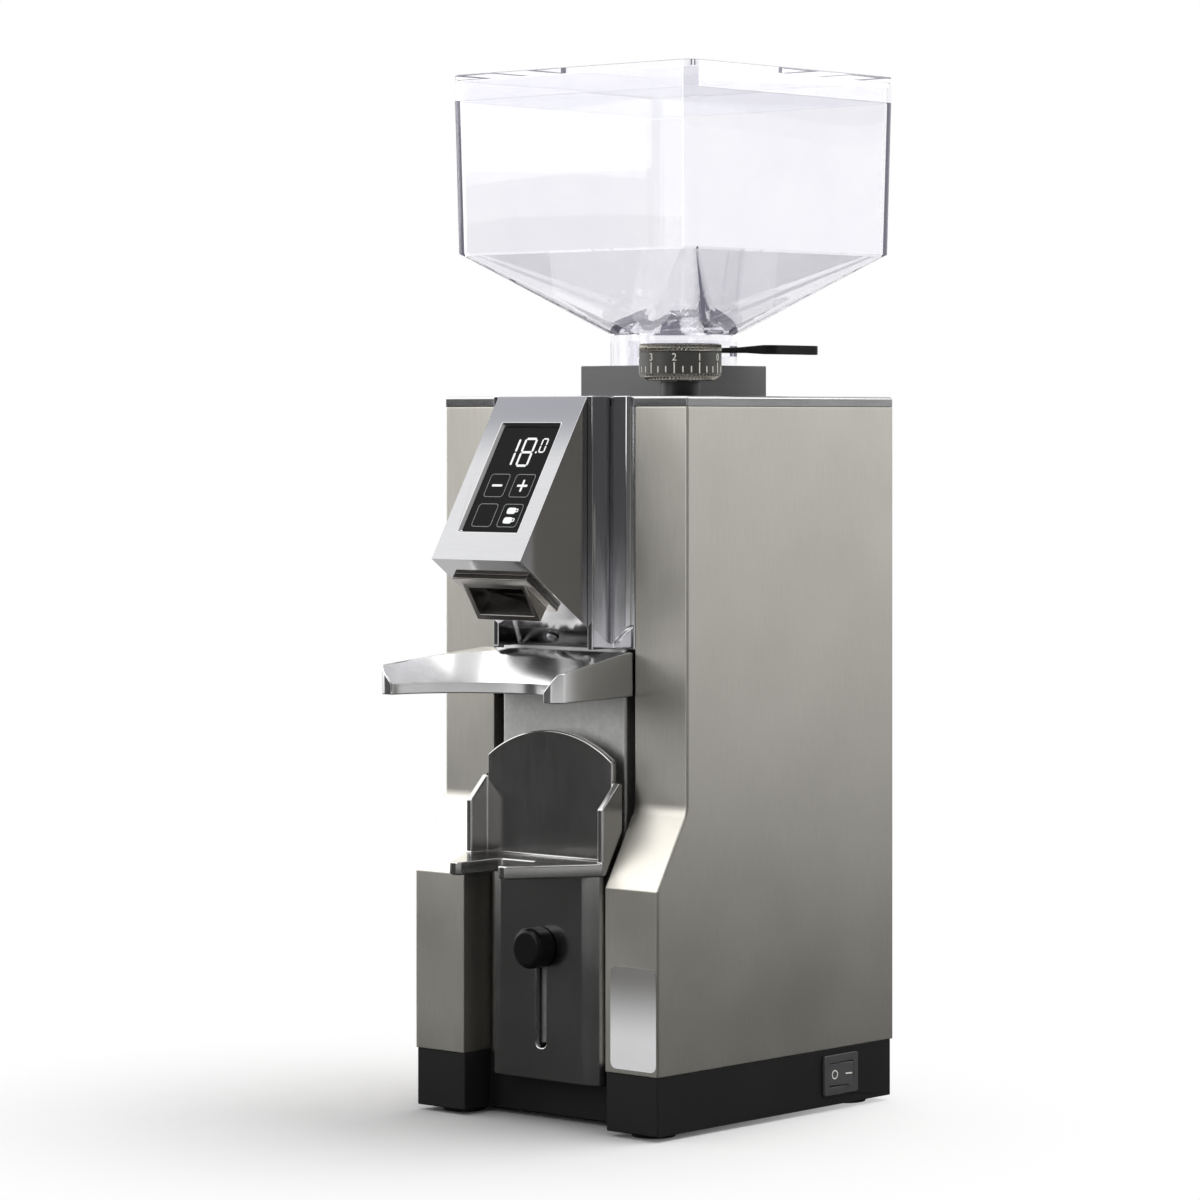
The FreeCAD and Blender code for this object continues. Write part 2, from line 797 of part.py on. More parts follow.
def make_head():
    """Wedge-shaped head: slanted face with the glass, slanted underside with the nozzle."""
    shell = doc.addObject("PartDesign::Body", "head_shell")
    face = "-panel_front"
    sketch = new_sketch(shell, "YZ", "-head_half")
    polygon(sketch, [
        (face, "trim_bottom"), (face, "roof"), ("-head_top_front", "roof"), ("-head_front", "head_lip")])
    add(shell, sketch, "head_width")
    sketch = new_sketch(shell, "YZ", "head_wall - head_half")
    face_run = "head_face * head_slope / head_slope_drop"
    under_rise = "head_wall * under_slope / head_reach"
    nose_run = f"({face_run} + {under_rise} * head_slope_run / head_slope_drop)"
    nose_share = "(1 + under_drop / head_reach * head_slope_run / head_slope_drop)"
    inset = f"{nose_run} / {nose_share}"
    polygon(sketch, [
        (face, f"trim_bottom + {under_rise}"),
        (face, "roof - head_wall"),
        (f"{face_run} - head_top_front - head_wall * head_slope_run / head_slope_drop", "roof - head_wall"),
        (f"{inset} - head_front", f"head_lip + {under_rise} - ({inset}) * under_drop / head_reach")])
    remove(shell, sketch, "head_width - 2 * head_wall", backward=True)
    slope = "atan2(head_slope_drop; head_slope_run)"
    under = "180 deg - atan2(under_drop; head_reach)"
    glass_y = "-head_top_front - (glass_drop + glass_length) * head_slope_run / head_slope"
    glass_z = "roof - (glass_drop + glass_length) * head_slope_drop / head_slope"
    sink_y = "* head_slope_drop / head_slope"
    sink_z = "* head_slope_run / head_slope"
    depth = "(glass_sink + glass_thickness)"
    recess_size = ("glass_width + 2 * fit_gap", "glass_length + 2 * fit_gap", f"glass_thickness + {depth}")
    recess = block("glass_recess", recess_size, ("0", "0", "0"))
    turn(recess, Vector(1, 0, 0), slope)
    place(recess, "-glass_width / 2 - fit_gap",
          f"{glass_y} + {depth} {sink_y} - fit_gap {sink_z}",
          f"{glass_z} - {depth} {sink_z} - fit_gap {sink_y}")
    glass = block("display_glass", ("glass_width", "glass_length", "glass_thickness"), ("0", "0", "0"))
    turn(glass, Vector(1, 0, 0), slope)
    place(glass, "-glass_width / 2", f"{glass_y} + {depth} {sink_y}", f"{glass_z} - {depth} {sink_z}")
    mouth_y = "-head_front + (nozzle_setback + nozzle_length) * head_reach / under_slope"
    mouth_z = "head_lip - (nozzle_setback + nozzle_length) * under_drop / under_slope"
    hole_size = ("nozzle_width + 2 * fit_gap", "nozzle_length + 2 * fit_gap", "4 * head_wall")
    hole = block("nozzle_hole", hole_size, ("0", "0", "0"))
    turn(hole, Vector(1, 0, 0), under)
    place(hole, "-nozzle_width / 2 - fit_gap",
          f"{mouth_y} + (2 * head_wall) * under_drop / under_slope + fit_gap * head_reach / under_slope",
          f"{mouth_z} + (2 * head_wall) * head_reach / under_slope - fit_gap * under_drop / under_slope")
    node(cut("head_housing", shell, [recess, hole]), "head_housing")
    node(glass, "display_glass")
    make_nozzle(under, mouth_y, mouth_z)
    make_chute(mouth_y, mouth_z)
    make_display_board()


def make_nozzle(under, mouth_y, mouth_z):
    """Rectangular spout through the underside, cut off at a slant, with a flange against the head."""
    def slanted(name, margin, rise, height):
        item = block(name, (f"nozzle_width + 2 * ({margin})", f"nozzle_length + 2 * ({margin})", height),
                     ("0", "0", "0"))
        turn(item, Vector(1, 0, 0), under)
        return place(
            item, f"-nozzle_width / 2 - ({margin})",
            f"{mouth_y} + ({margin}) * head_reach / under_slope - ({rise}) * under_drop / under_slope",
            f"{mouth_z} - ({margin}) * under_drop / under_slope - ({rise}) * head_reach / under_slope")
    tube = slanted("nozzle_tube", "0", "-2 * head_wall", "2 * head_wall + nozzle_height")
    lean = f"({under} - atan2(nozzle_height - nozzle_nose; nozzle_length))"
    mouth = block("nozzle_mouth", ("2 * nozzle_width", "3 * nozzle_length", "2 * nozzle_height"), ("0", "0", "0"))
    turn(mouth, Vector(1, 0, 0), lean)
    place(mouth, "-nozzle_width",
          f"{mouth_y} - nozzle_height * under_drop / under_slope - nozzle_length * cos({lean})",
          f"{mouth_z} - nozzle_height * head_reach / under_slope - nozzle_length * sin({lean})")
    spout = cut("nozzle_spout", tube, [mouth])
    flange = slanted("nozzle_collar", "nozzle_flange", "0", "nozzle_wall")
    bore = slanted("nozzle_bore", "-nozzle_wall", "-3 * head_wall", "4 * head_wall + nozzle_height")
    node(cut("chute_nozzle", joined("nozzle_body", [spout, flange]), [bore]), "chute_nozzle")


def make_chute(mouth_y, mouth_z):
    """Sloping duct from the grinding chamber to the spout, with a swinging flap in it."""
    duct = new_body("chute_duct")
    inlet = "grind_axis - chamber_radius - duct_boss"
    along_y = "* head_reach / under_slope"
    along_z = "* under_drop / under_slope"
    back_y = f"{mouth_y} + 2 * head_wall {along_z}"
    back_z = f"{mouth_z} + 2 * head_wall {along_y}"
    front_y = f"{back_y} - nozzle_length {along_y}"
    front_z = f"{back_z} + nozzle_length {along_z}"
    sketch = new_sketch(duct, "YZ", "-duct_width / 2 - duct_wall")
    polygon(sketch, [
        (inlet, "chamber_deck - duct_wall"), (inlet, "chamber_deck + duct_height + duct_wall"),
        (front_y, front_z), (back_y, back_z)])
    add(duct, sketch, "duct_width + 2 * duct_wall")
    sketch = new_sketch(duct, "YZ", "-duct_width / 2")
    inner_y = f"{back_y} - (nozzle_length - nozzle_wall) {along_y}"
    inner_z = f"{back_z} + (nozzle_length - nozzle_wall) {along_z}"
    polygon(sketch, [
        (f"{inlet} + fit_gap", "chamber_deck"), (f"{inlet} + fit_gap", "chamber_deck + duct_height"),
        (inner_y, inner_z),
        (f"{inner_y} - nozzle_wall {along_z}", f"{inner_z} - nozzle_wall {along_y}"),
        (f"{back_y} - nozzle_wall {along_y} - nozzle_wall {along_z}",
         f"{back_z} + nozzle_wall {along_z} - nozzle_wall {along_y}"),
        (f"{back_y} - nozzle_wall {along_y}", f"{back_z} + nozzle_wall {along_z}")])
    remove(duct, sketch, "duct_width", backward=True)
    pin_y = f"{inlet} - flap_setback"
    pin_z = "chamber_deck + duct_height - flap_drop"
    sketch = new_sketch(duct, "YZ", "-duct_width / 2 - duct_wall")
    circle(sketch, pin_y, pin_z, "flap_pin_radius + shaft_gap")
    remove(duct, sketch, "duct_width + 2 * duct_wall", backward=True)
    flap = new_body("chute_flap")
    sketch = new_sketch(flap, "YZ", "-duct_width / 2 - duct_wall")
    circle(sketch, pin_y, pin_z, "flap_pin_radius")
    add(flap, sketch, "duct_width + 2 * duct_wall")
    sketch = new_sketch(flap, "YZ", "flap_gap - duct_width / 2")
    polygon(sketch, rectangle(f"{pin_y} - flap_thickness / 2", f"{pin_y} + flap_thickness / 2",
                              f"{pin_z} - flap_length", pin_z))
    add(flap, sketch, "duct_width - 2 * flap_gap")


def make_display_board():
    """Board pressed to the inside of the head's face, behind the glass."""
    board = block("display_board",
                  ("glass_width + 2 * display_board_margin", "glass_length", "display_board_thickness"),
                  ("0", "0", "0"))
    turn(board, Vector(1, 0, 0), "atan2(head_slope_drop; head_slope_run)")
    depth = "(head_face + fit_gap + display_board_thickness)"
    foot = "(glass_drop + glass_length)"
    place(board, "-glass_width / 2 - display_board_margin",
          f"{depth} * head_slope_drop / head_slope - head_top_front - {foot} * head_slope_run / head_slope",
          f"roof - {depth} * head_slope_run / head_slope - {foot} * head_slope_drop / head_slope")
    node(board, "display_board")


def make_hood():
    """Cast guard over the fork: two arms round a funnel-shaped bite."""
    hood = new_body("hood")
    sketch = new_sketch(hood, "XY", "hood_bottom")
    polygon(sketch, [
        ("-hood_back_width / 2", "-panel_front"), ("-hood_front_width / 2", "-hood_front"),
        ("hood_front_width / 2", "-hood_front"), ("hood_back_width / 2", "-panel_front")])
    add(hood, sketch, "hood_height")
    ease(hood, "hood_edge_radius", lambda edge: upright(edge) and near(edge.CenterOfMass.y, "-hood_front"))
    sketch = new_sketch(hood, "YZ", "-hood_front_width / 2")
    ledge = "-panel_front - hood_ledge"
    polygon(sketch, [
        (ledge, "hood_top"), ("-hood_front", "hood_top - hood_fall"), ("-hood_front", "hood_top")])
    remove(hood, sketch, "hood_front_width", backward=True)
    sketch = new_sketch(hood, "XY", "hood_top")
    circle(sketch, "0", "-hood_bite_y", "hood_bite_radius")
    remove(hood, sketch, "hood_height")
    sketch = new_sketch(hood, "XZ", "hood_bite_y")
    rim = "hood_bottom + hood_rim_height"
    polygon(sketch, [
        ("0", rim), ("hood_bite_radius", rim), ("hood_funnel_radius", "hood_top"), ("0", "hood_top")])
    funnel = hood.newObject("PartDesign::Groove", "hood_funnel")
    funnel.Profile = sketch
    funnel.ReferenceAxis = (sketch, ["V_Axis"])
    funnel.Angle = 360
    doc.recompute()
    sketch = new_sketch(hood, "XY", "hood_bottom")
    half = "back_wall_width / 2 + 2 * run_gap"
    polygon(sketch, rectangle(
        f"-({half})", half, "-back_wall_front - 2 * run_gap", "2 * run_gap - back_wall_back"))
    remove(hood, sketch, "hood_slot_height", backward=True)


def make_fork():
    """Sliding fork: notched shelf, cheeks, arched back wall and slotted apron in one piece."""
    fork = new_body("fork")
    side = "shelf_width / 2"
    tip = "shelf_tip_width / 2"
    notch = "shelf_notch_width / 2"
    notch_end = "shelf_notch_depth - shelf_front"
    sketch = new_sketch(fork, "XY", "shelf_bottom")
    polygon(sketch, [
        (f"-{side}", "-back_wall_back"), (f"-{side}", "-leg_front"), (f"-{tip}", "-shelf_front"),
        (f"-{notch}", "-shelf_front"), (f"-{notch}", notch_end), (notch, notch_end),
        (notch, "-shelf_front"), (tip, "-shelf_front"), (side, "-leg_front"),
        (side, "-back_wall_back")])
    add(fork, sketch, "shelf_thickness")
    ease(fork, "shelf_corner", upright)
    sketch = new_sketch(fork, "XZ", "back_wall_back")
    arched_wall(sketch)
    add(fork, sketch, "back_wall_thickness")
    cheek_front = "-back_wall_back - cheek_depth"
    cheek_top = "fork_top + cheek_height"
    for start in (f"-{side}", f"{side} - cheek_thickness"):
        sketch = new_sketch(fork, "YZ", start)
        polygon(sketch, [
            ("-back_wall_back", "shelf_bottom"), ("-back_wall_back", cheek_top),
            (f"{cheek_front} + cheek_slant", cheek_top), (cheek_front, f"{cheek_top} - cheek_slant"),
            (cheek_front, "shelf_bottom")])
        add(fork, sketch, "cheek_thickness")
    outer = "apron_width / 2"
    inner = "apron_width / 2 - apron_thickness"
    flange = "apron_flange_depth - apron_front"
    sketch = new_sketch(fork, "XY", "shelf_bottom + shelf_thickness / 2")
    polygon(sketch, [
        (f"-{outer}", "-apron_front"), (outer, "-apron_front"), (outer, flange), (inner, flange),
        (inner, "-apron_back"), (f"-({inner})", "-apron_back"), (f"-({inner})", flange),
        (f"-{outer}", flange)])
    add(fork, sketch, "shelf_thickness / 2 + apron_drop", backward=True)
    sketch = new_sketch(fork, "XZ", "apron_front")
    half = "stud_radius + slot_play"
    rounded(sketch, rectangle(f"-({half})", half, "stud_height - slot_length", f"stud_height + {half}"),
            "slot_corner")
    remove(fork, sketch, "apron_thickness")
    ease(fork, "apron_edge_radius", lambda edge: (
        upright(edge)
        and near(edge.CenterOfMass.y, "-apron_front")
        and near(abs(edge.CenterOfMass.x), outer)))


def arched_wall(sketch):
    """Outline of the fork's back wall: square sides under a flat arch."""
    half = "back_wall_width / 2"
    shoulder = "fork_top + back_wall_shoulder"
    radius = "(back_wall_width ^ 2 / 4 + back_wall_crown ^ 2) / (2 * back_wall_crown)"
    corners = [(half, shoulder), (f"-{half}", shoulder), (f"-{half}", "shelf_bottom"), (half, "shelf_bottom")]
    spots = [Vector(number(x), number(y), 0) for x, y in corners]
    crown = Vector(0, number(f"{shoulder} + back_wall_crown"), 0)
    arc = sketch.addGeometry(Part.Arc(spots[0], crown, spots[1]))
    lines = [sketch.addGeometry(Part.LineSegment(spots[i], spots[(i + 1) % 4])) for i in (1, 2, 3)]
    for i, line in enumerate(lines, start=1):
        pin(sketch, line, 1, *corners[i])
    pin(sketch, lines[2], 2, *corners[0])
    for before, after in zip(lines, lines[1:]):
        sketch.addConstraint(Sketcher.Constraint("Coincident", before, 2, after, 1))
    sketch.addConstraint(Sketcher.Constraint("Coincident", arc, 1, lines[2], 2))
    sketch.addConstraint(Sketcher.Constraint("Coincident", arc, 2, lines[0], 1))
    hold(sketch, "Radius", radius, arc)


def make_clamp():
    """Round knob and stud that clamp the fork to its carrier, turning about Y."""
    knob = new_body("clamp_knob")
    spin(knob, [
        ("stud_radius + fit_gap", "run_gap"), ("clamp_knob_radius", "run_gap"),
        ("clamp_knob_radius", "run_gap + clamp_knob_length"), ("0", "run_gap + clamp_knob_length"),
        ("0", "run_gap + clamp_knob_length / 2 + fit_gap"),
        ("stud_radius + fit_gap", "run_gap + clamp_knob_length / 2 + fit_gap")])
    ease(knob, "clamp_knob_rounding", lambda edge: (
        near(edge.CenterOfMass.z, "run_gap + clamp_knob_length")
        and edge.BoundBox.XLength > number("stud_radius")))
    turn(knob, Vector(1, 0, 0), "90")
    place(knob, "0", "-apron_front", "stud_height")
    stud = rod("clamp_stud", "stud_radius",
               "carrier_thickness + 2 * run_gap + apron_thickness + clamp_knob_length / 2 - fit_gap",
               ("0", "0", "0"))
    turn(stud, Vector(1, 0, 0), "90")
    place(stud, "0", "fit_gap - carrier_back", "stud_height")
    node(stud, "clamp_stud")


def make_weighing():
    """Carrier behind the apron, and the weighing cell that holds it from the chassis."""
    carrier = new_body("fork_carrier")
    half = "apron_width / 2 - apron_thickness - run_gap"
    sketch = new_sketch(carrier, "XZ", "carrier_back")
    polygon(sketch, rectangle(f"-({half})", half, "carrier_bottom", "carrier_bottom + carrier_height"))
    circle(sketch, "0", "stud_height", "stud_radius + shaft_gap")
    add(carrier, sketch, "carrier_thickness")
    sketch = new_sketch(carrier, "XZ", "carrier_back")
    polygon(sketch, rectangle("cell_length / 2 - cell_foot", "cell_length / 2",
                              "cell_bottom", "cell_bottom + cell_width"))
    add(carrier, sketch, "cell_gap", backward=True)
    cell = new_body("weighing_cell")
    sketch = new_sketch(cell, "XZ", "cell_front - cell_width")
    polygon(sketch, rectangle(
        "-cell_length / 2", "cell_length / 2", "cell_bottom", "cell_bottom + cell_width"))
    middle = "cell_bottom + cell_width / 2"
    for x in ("-cell_window", "cell_window"):
        circle(sketch, x, middle, "cell_window_radius")
    add(cell, sketch, "cell_width")
    foot = block("cell_foot", ("cell_foot", "cell_width", "cell_bottom - chassis_top"),
                 ("-cell_length / 2", "-cell_front", "chassis_top"))
    node(foot, "cell_foot")


def around_axis(body):
    """Stand a body on the grinding axis."""
    return place(body, "0", "grind_axis", "0")


def bolt_holes(body, deck, depth, backward=False):
    """Holes for the motor's tie bolts, cut down from a level or up from it."""
    sketch = new_sketch(body, "XY", deck)
    circle(sketch, "tie_bolt_circle", "0", "tie_bolt_radius + fit_gap")
    hole = remove(body, sketch, depth, backward)
    repeat_round(body, hole, "tie_bolt_count")


def make_chamber():
    """Cast cup round the burrs, with side lugs, a delivery window and the upper burr's holder."""
    chamber = around_axis(new_body("grind_chamber"))
    spin(chamber, [
        ("chamber_shaft_hole", "chamber_base"), ("chamber_radius", "chamber_base"),
        ("chamber_radius", "holder_rim"), ("chamber_bore", "holder_rim"),
        ("chamber_bore", "chamber_deck"), ("chamber_shaft_hole", "chamber_deck")])
    sketch = new_sketch(chamber, "XZ", "chamber_radius + duct_boss")
    side = "duct_width / 2 + duct_wall"
    polygon(sketch, rectangle(f"-({side})", side, "chamber_base", "chamber_deck + duct_height + duct_wall"))
    add(chamber, sketch, "duct_boss + chamber_radius - chamber_bore - fit_gap", backward=True)
    sketch = new_sketch(chamber, "XZ", "chamber_radius + duct_boss")
    polygon(sketch, rectangle(
        "-duct_width / 2", "duct_width / 2", "chamber_deck", "chamber_deck + duct_height"))
    remove(chamber, sketch, "duct_boss + chamber_radius - disc_radius - vane_length")
    for sign in ("-", ""):
        sketch = new_sketch(chamber, "YZ", f"{sign}upright_place")
        polygon(sketch, rectangle(
            "-lug_width / 2", "lug_width / 2", "chamber_base", "chamber_base + lug_height"))
        circle(sketch, "0", "chamber_base + lug_height / 2", "bolt_radius + fit_gap")
        add(chamber, sketch, "upright_place - chamber_bore - fit_gap", backward=sign == "")
    holder = around_axis(new_body("upper_burr_holder"))
    spin(holder, [
        ("throat_radius", "holder_seat"), ("holder_radius", "holder_seat"), ("holder_radius", "holder_rim"),
        ("chamber_radius", "holder_rim"), ("chamber_radius", "panel_top"), ("throat_radius", "panel_top")])
    screw_holes(holder, "holder_seat", "burr_screw_grip + fit_gap", backward=True)


def screw_holes(body, deck, depth, backward=False):
    """Holes on the burr screws' circle."""
    sketch = new_sketch(body, "XY", deck)
    circle(sketch, "burr_screw_circle", "0", "burr_screw_radius + fit_gap")
    hole = remove(body, sketch, depth, backward)
    repeat_round(body, hole, "burr_screw_count")


def make_burr(label, low, face_up):
    """Flat burr ring with radial cutting grooves in one face and screw holes."""
    burr = around_axis(new_body(label))
    high = f"{low} + burr_thickness"
    spin(burr, [
        ("burr_bore", low), ("burr_radius", low), ("burr_radius", high), ("burr_bore", high)])
    sketch = new_sketch(burr, "XY", high if face_up else low)
    polygon(sketch, rectangle("burr_bore - burr_tooth_width", "burr_radius + burr_tooth_width",
                              "-burr_tooth_width / 2", "burr_tooth_width / 2"))
    groove = remove(burr, sketch, "burr_tooth_depth", backward=not face_up)
    repeat_round(burr, groove, "burr_tooth_count")
    screw_holes(burr, high, "burr_thickness")


def burr_screws(label, foot):
    """The screws that hold one burr, as one node."""
    screws = []
    for i in range(SIZES["burr_screw_count"]):
        screw = rod(label + "_screw", "burr_screw_radius",
                    "burr_thickness + burr_screw_grip - burr_screw_sink", ("0", "0", foot))
        angle = f"{i} * 360 deg / burr_screw_count"
        place(screw, f"burr_screw_circle * cos({angle})",
              f"grind_axis + burr_screw_circle * sin({angle})", foot)
        screws.append(screw)
    group(label, screws)


def make_burrs():
    """Upper burr under its holder, lower burr on its disc with sweeping vanes."""
    make_burr("upper_burr", "upper_burr_face", face_up=False)
    burr_screws("upper_burr_screws", "upper_burr_face + burr_screw_sink")
    make_burr("lower_burr", "disc_top", face_up=True)
    burr_screws("lower_burr_screws", "disc_top - burr_screw_grip")
    disc = around_axis(new_body("lower_burr_disc"))
    spin(disc, [
        ("shaft_bore", "disc_bottom"), ("disc_radius", "disc_bottom"),
        ("disc_radius", "disc_top"), ("shaft_bore", "disc_top")])
    screw_holes(disc, "disc_top", "burr_screw_grip + fit_gap")
    sketch = new_sketch(disc, "XY", "disc_bottom")
    polygon(sketch, rectangle("disc_radius - vane_width / 2", "disc_radius + vane_length",
                              "-vane_width / 2", "vane_width / 2"))
    vane = add(disc, sketch, "disc_thickness")
    repeat_round(disc, vane, "vane_count")
    nut = around_axis(new_body("shaft_nut"))
    sketch = new_sketch(nut, "XY", "disc_top")
    circle(sketch, "0", "0", "shaft_nut_radius")
    circle(sketch, "0", "0", "shaft_bore")
    add(nut, sketch, "shaft_nut_height")


def make_motor():
    """Motor under the chamber: two bells, stator, bearings, tie bolts, rotor, shaft and fan."""
    hub = "bearing_radius + fit_gap"
    hub_out = f"{hub} + bell_wall"
    skirt = "bell_radius - bell_wall"
    deck = "chamber_base - bell_wall"
    bell = around_axis(new_body("motor_upper_bell"))
    spin(bell, [
        ("chamber_shaft_hole", "chamber_base"), ("bell_radius", "chamber_base"), ("bell_radius", "bell_base"),
        (skirt, "bell_base"), (skirt, deck), (hub_out, deck), (hub_out, f"{deck} - bearing_width"),
        (hub, f"{deck} - bearing_width"), (hub, deck), ("chamber_shaft_hole", deck)])
    bolt_holes(bell, "chamber_base", "bell_wall")
    floor = "lower_bell_base + bell_wall"
    bell = around_axis(new_body("motor_lower_bell"))
    spin(bell, [
        ("boss_bore", "boss_base"), ("boss_bore + boss_wall", "boss_base"),
        ("boss_bore + boss_wall", "lower_bell_base"), ("bell_radius", "lower_bell_base"),
        ("bell_radius", "stator_base"), (skirt, "stator_base"), (skirt, floor), (hub_out, floor),
        (hub_out, f"{floor} + bearing_width"), (hub, f"{floor} + bearing_width"), (hub, floor),
        ("boss_bore", floor)])
    bolt_holes(bell, "lower_bell_base", "bell_wall", backward=True)
    stator = around_axis(new_body("motor_stator"))
    spin(stator, [
        ("stator_bore", "stator_base"), ("bell_radius", "stator_base"),
        ("bell_radius", "bell_base"), ("stator_bore", "bell_base")])
    bolt_holes(stator, "bell_base", "stator_height")
    rings = []
    for low in (f"{deck} - bearing_width", floor):
        outer = rod("bearing_outer", "bearing_radius", "bearing_width", ("0", "grind_axis", low))
        bore = rod("bearing_bore", "shaft_bore", "bearing_width", ("0", "grind_axis", low))
        rings.append(cut("bearing", outer, [bore]))
    group("motor_bearings", rings)
    bolts = []
    for i in range(SIZES["tie_bolt_count"]):
        angle = f"{i} * 360 deg / tie_bolt_count"
        spot = (f"tie_bolt_circle * cos({angle})", f"grind_axis + tie_bolt_circle * sin({angle})")
        shank = rod("tie_shank", "tie_bolt_radius", "chamber_base - lower_bell_base",
                    (*spot, "lower_bell_base"))
        head = rod("tie_head", "2 * tie_bolt_radius", "bolt_head_height",
                   (*spot, "lower_bell_base - bolt_head_height"))
        bolts.append(joined("tie_bolt", [shank, head]))
    group("motor_tie_bolts", bolts)
    rotor = around_axis(new_body("motor_rotor"))
    core = "stator_bore - rotor_gap"
    low = "stator_base + rotor_inset"
    high = "bell_base - rotor_inset"
    spin(rotor, [("shaft_bore", low), (core, low), (core, high), ("shaft_bore", high)])
    node(rod("motor_shaft", "shaft_radius", "disc_top + shaft_nut_height - cup_top",
             ("0", "grind_axis", "cup_top")), "motor_shaft")
    fan = around_axis(new_body("cooling_fan"))
    fan_low = f"{high} + fan_thickness"
    sketch = new_sketch(fan, "XY", high)
    circle(sketch, "0", "0", "bearing_radius")
    circle(sketch, "0", "0", "shaft_bore")
    add(fan, sketch, "2 * fan_thickness")
    sketch = new_sketch(fan, "XY", fan_low)
    polygon(sketch, rectangle("bearing_radius - fan_thickness", "fan_radius",
                              "-fan_thickness / 2", "fan_thickness / 2"))
    blade = add(fan, sketch, "fan_thickness", backward=True)
    repeat_round(fan, blade, "blade_count")


def along_lever(item):
    """Stand an object on the grinding axis with its own +X towards the dial's spindle."""
    turn(item, Vector(0, 0, 1), "-atan2(spindle_ahead; spindle_across)")
    return around_axis(item)


def make_adjuster():
    """Dial, spindle and bush on top; nut, lever, pivot and thrust cup under the shaft."""
    bore = "spindle_radius + shaft_gap"
    dial = place(new_body("grind_dial"), "spindle_across", "spindle_y", "0")
    top = "dial_bottom + dial_height"
    skirt = "dial_bottom + dial_skirt"
    rim = "dial_radius + dial_rim"
    spin(dial, [
        (bore, "dial_bottom"), ("dial_radius - dial_skirt", "dial_bottom"),
        (rim, f"{skirt} - dial_hollow"), (rim, skirt), ("dial_radius", f"{skirt} + dial_rim"),
        ("dial_radius", f"{top} - dial_hollow"), (f"{rim} - dial_rim / 2", f"{top} - dial_hollow + dial_rim"),
        (f"{rim} - dial_rim / 2", f"{top} - dial_rim"), ("dial_radius - dial_rim", top), ("0", top),
        ("0", f"{top} - dial_skirt"), (bore, f"{top} - dial_skirt")])
    node(rod("dial_spindle", "spindle_radius", f"{top} - dial_skirt - fit_gap - chassis_base",
             ("spindle_across", "spindle_y", "chassis_base")), "dial_spindle")
    bush = place(new_body("dial_bush"), "spindle_across", "spindle_y", "0")
    spin(bush, [
        (bore, "panel_top"), ("bush_radius", "panel_top"), ("bush_radius", "roof"), ("stem_radius", "roof"),
        ("stem_radius", "dial_bottom - run_gap"), (bore, "dial_bottom - run_gap")])
    nut = along_lever(new_body("spindle_nut"))
    half = "nut_width / 2"
    sketch = new_sketch(nut, "XY", "nut_top")
    polygon(sketch, rectangle(f"spindle_reach - {half}", f"spindle_reach + {half}", f"-{half}", half))
    circle(sketch, "spindle_reach", "0", bore)
    add(nut, sketch, "nut_height", backward=True)
    lever = along_lever(new_body("adjust_lever"))
    side = "lever_width / 2"
    slot = "spindle_radius + lever_slot_play"
    nose = "spindle_reach + lever_nose"
    heel = "-lever_tail - lever_end"
    sketch = new_sketch(lever, "XY", "lever_base")
    polygon(sketch, [
        (heel, f"-{side}"), (nose, f"-{side}"), (nose, f"-({slot})"),
        (f"spindle_reach - ({slot})", f"-({slot})"), (f"spindle_reach - ({slot})", slot),
        (nose, slot), (nose, side), (heel, side)])
    add(lever, sketch, "lever_thickness")
    sketch = new_sketch(lever, "XZ", side)
    circle(sketch, "-lever_tail", "lever_middle", "pivot_radius + shaft_gap")
    remove(lever, sketch, "lever_width")
    bracket = along_lever(new_body("lever_bracket"))
    reach = f"{side} + run_gap + pivot_cheek"
    sketch = new_sketch(bracket, "YZ", heel)
    low = "chassis_top + pivot_cheek"
    polygon(sketch, [
        (f"-({reach})", "chassis_top"), (reach, "chassis_top"), (reach, "lever_top"),
        (f"{reach} - pivot_cheek", "lever_top"), (f"{reach} - pivot_cheek", low),
        (f"pivot_cheek - ({reach})", low), (f"pivot_cheek - ({reach})", "lever_top"),
        (f"-({reach})", "lever_top")])
    add(bracket, sketch, "2 * lever_end")
    sketch = new_sketch(bracket, "XZ", reach)
    circle(sketch, "-lever_tail", "lever_middle", "pivot_radius + shaft_gap")
    remove(bracket, sketch, f"2 * ({reach})")
    pivot = along_lever(new_body("lever_pin"))
    sketch = new_sketch(pivot, "XZ", reach)
    circle(sketch, "-lever_tail", "lever_middle", "pivot_radius")
    add(pivot, sketch, f"2 * ({reach})", backward=True)
    cup = around_axis(new_body("thrust_cup"))
    spin(cup, [
        ("0", "cup_tip"), ("cup_pin_radius", "cup_tip"), ("cup_pin_radius", "cup_base"),
        ("cup_radius", "cup_base"), ("cup_radius", "cup_top"), ("0", "cup_top")])


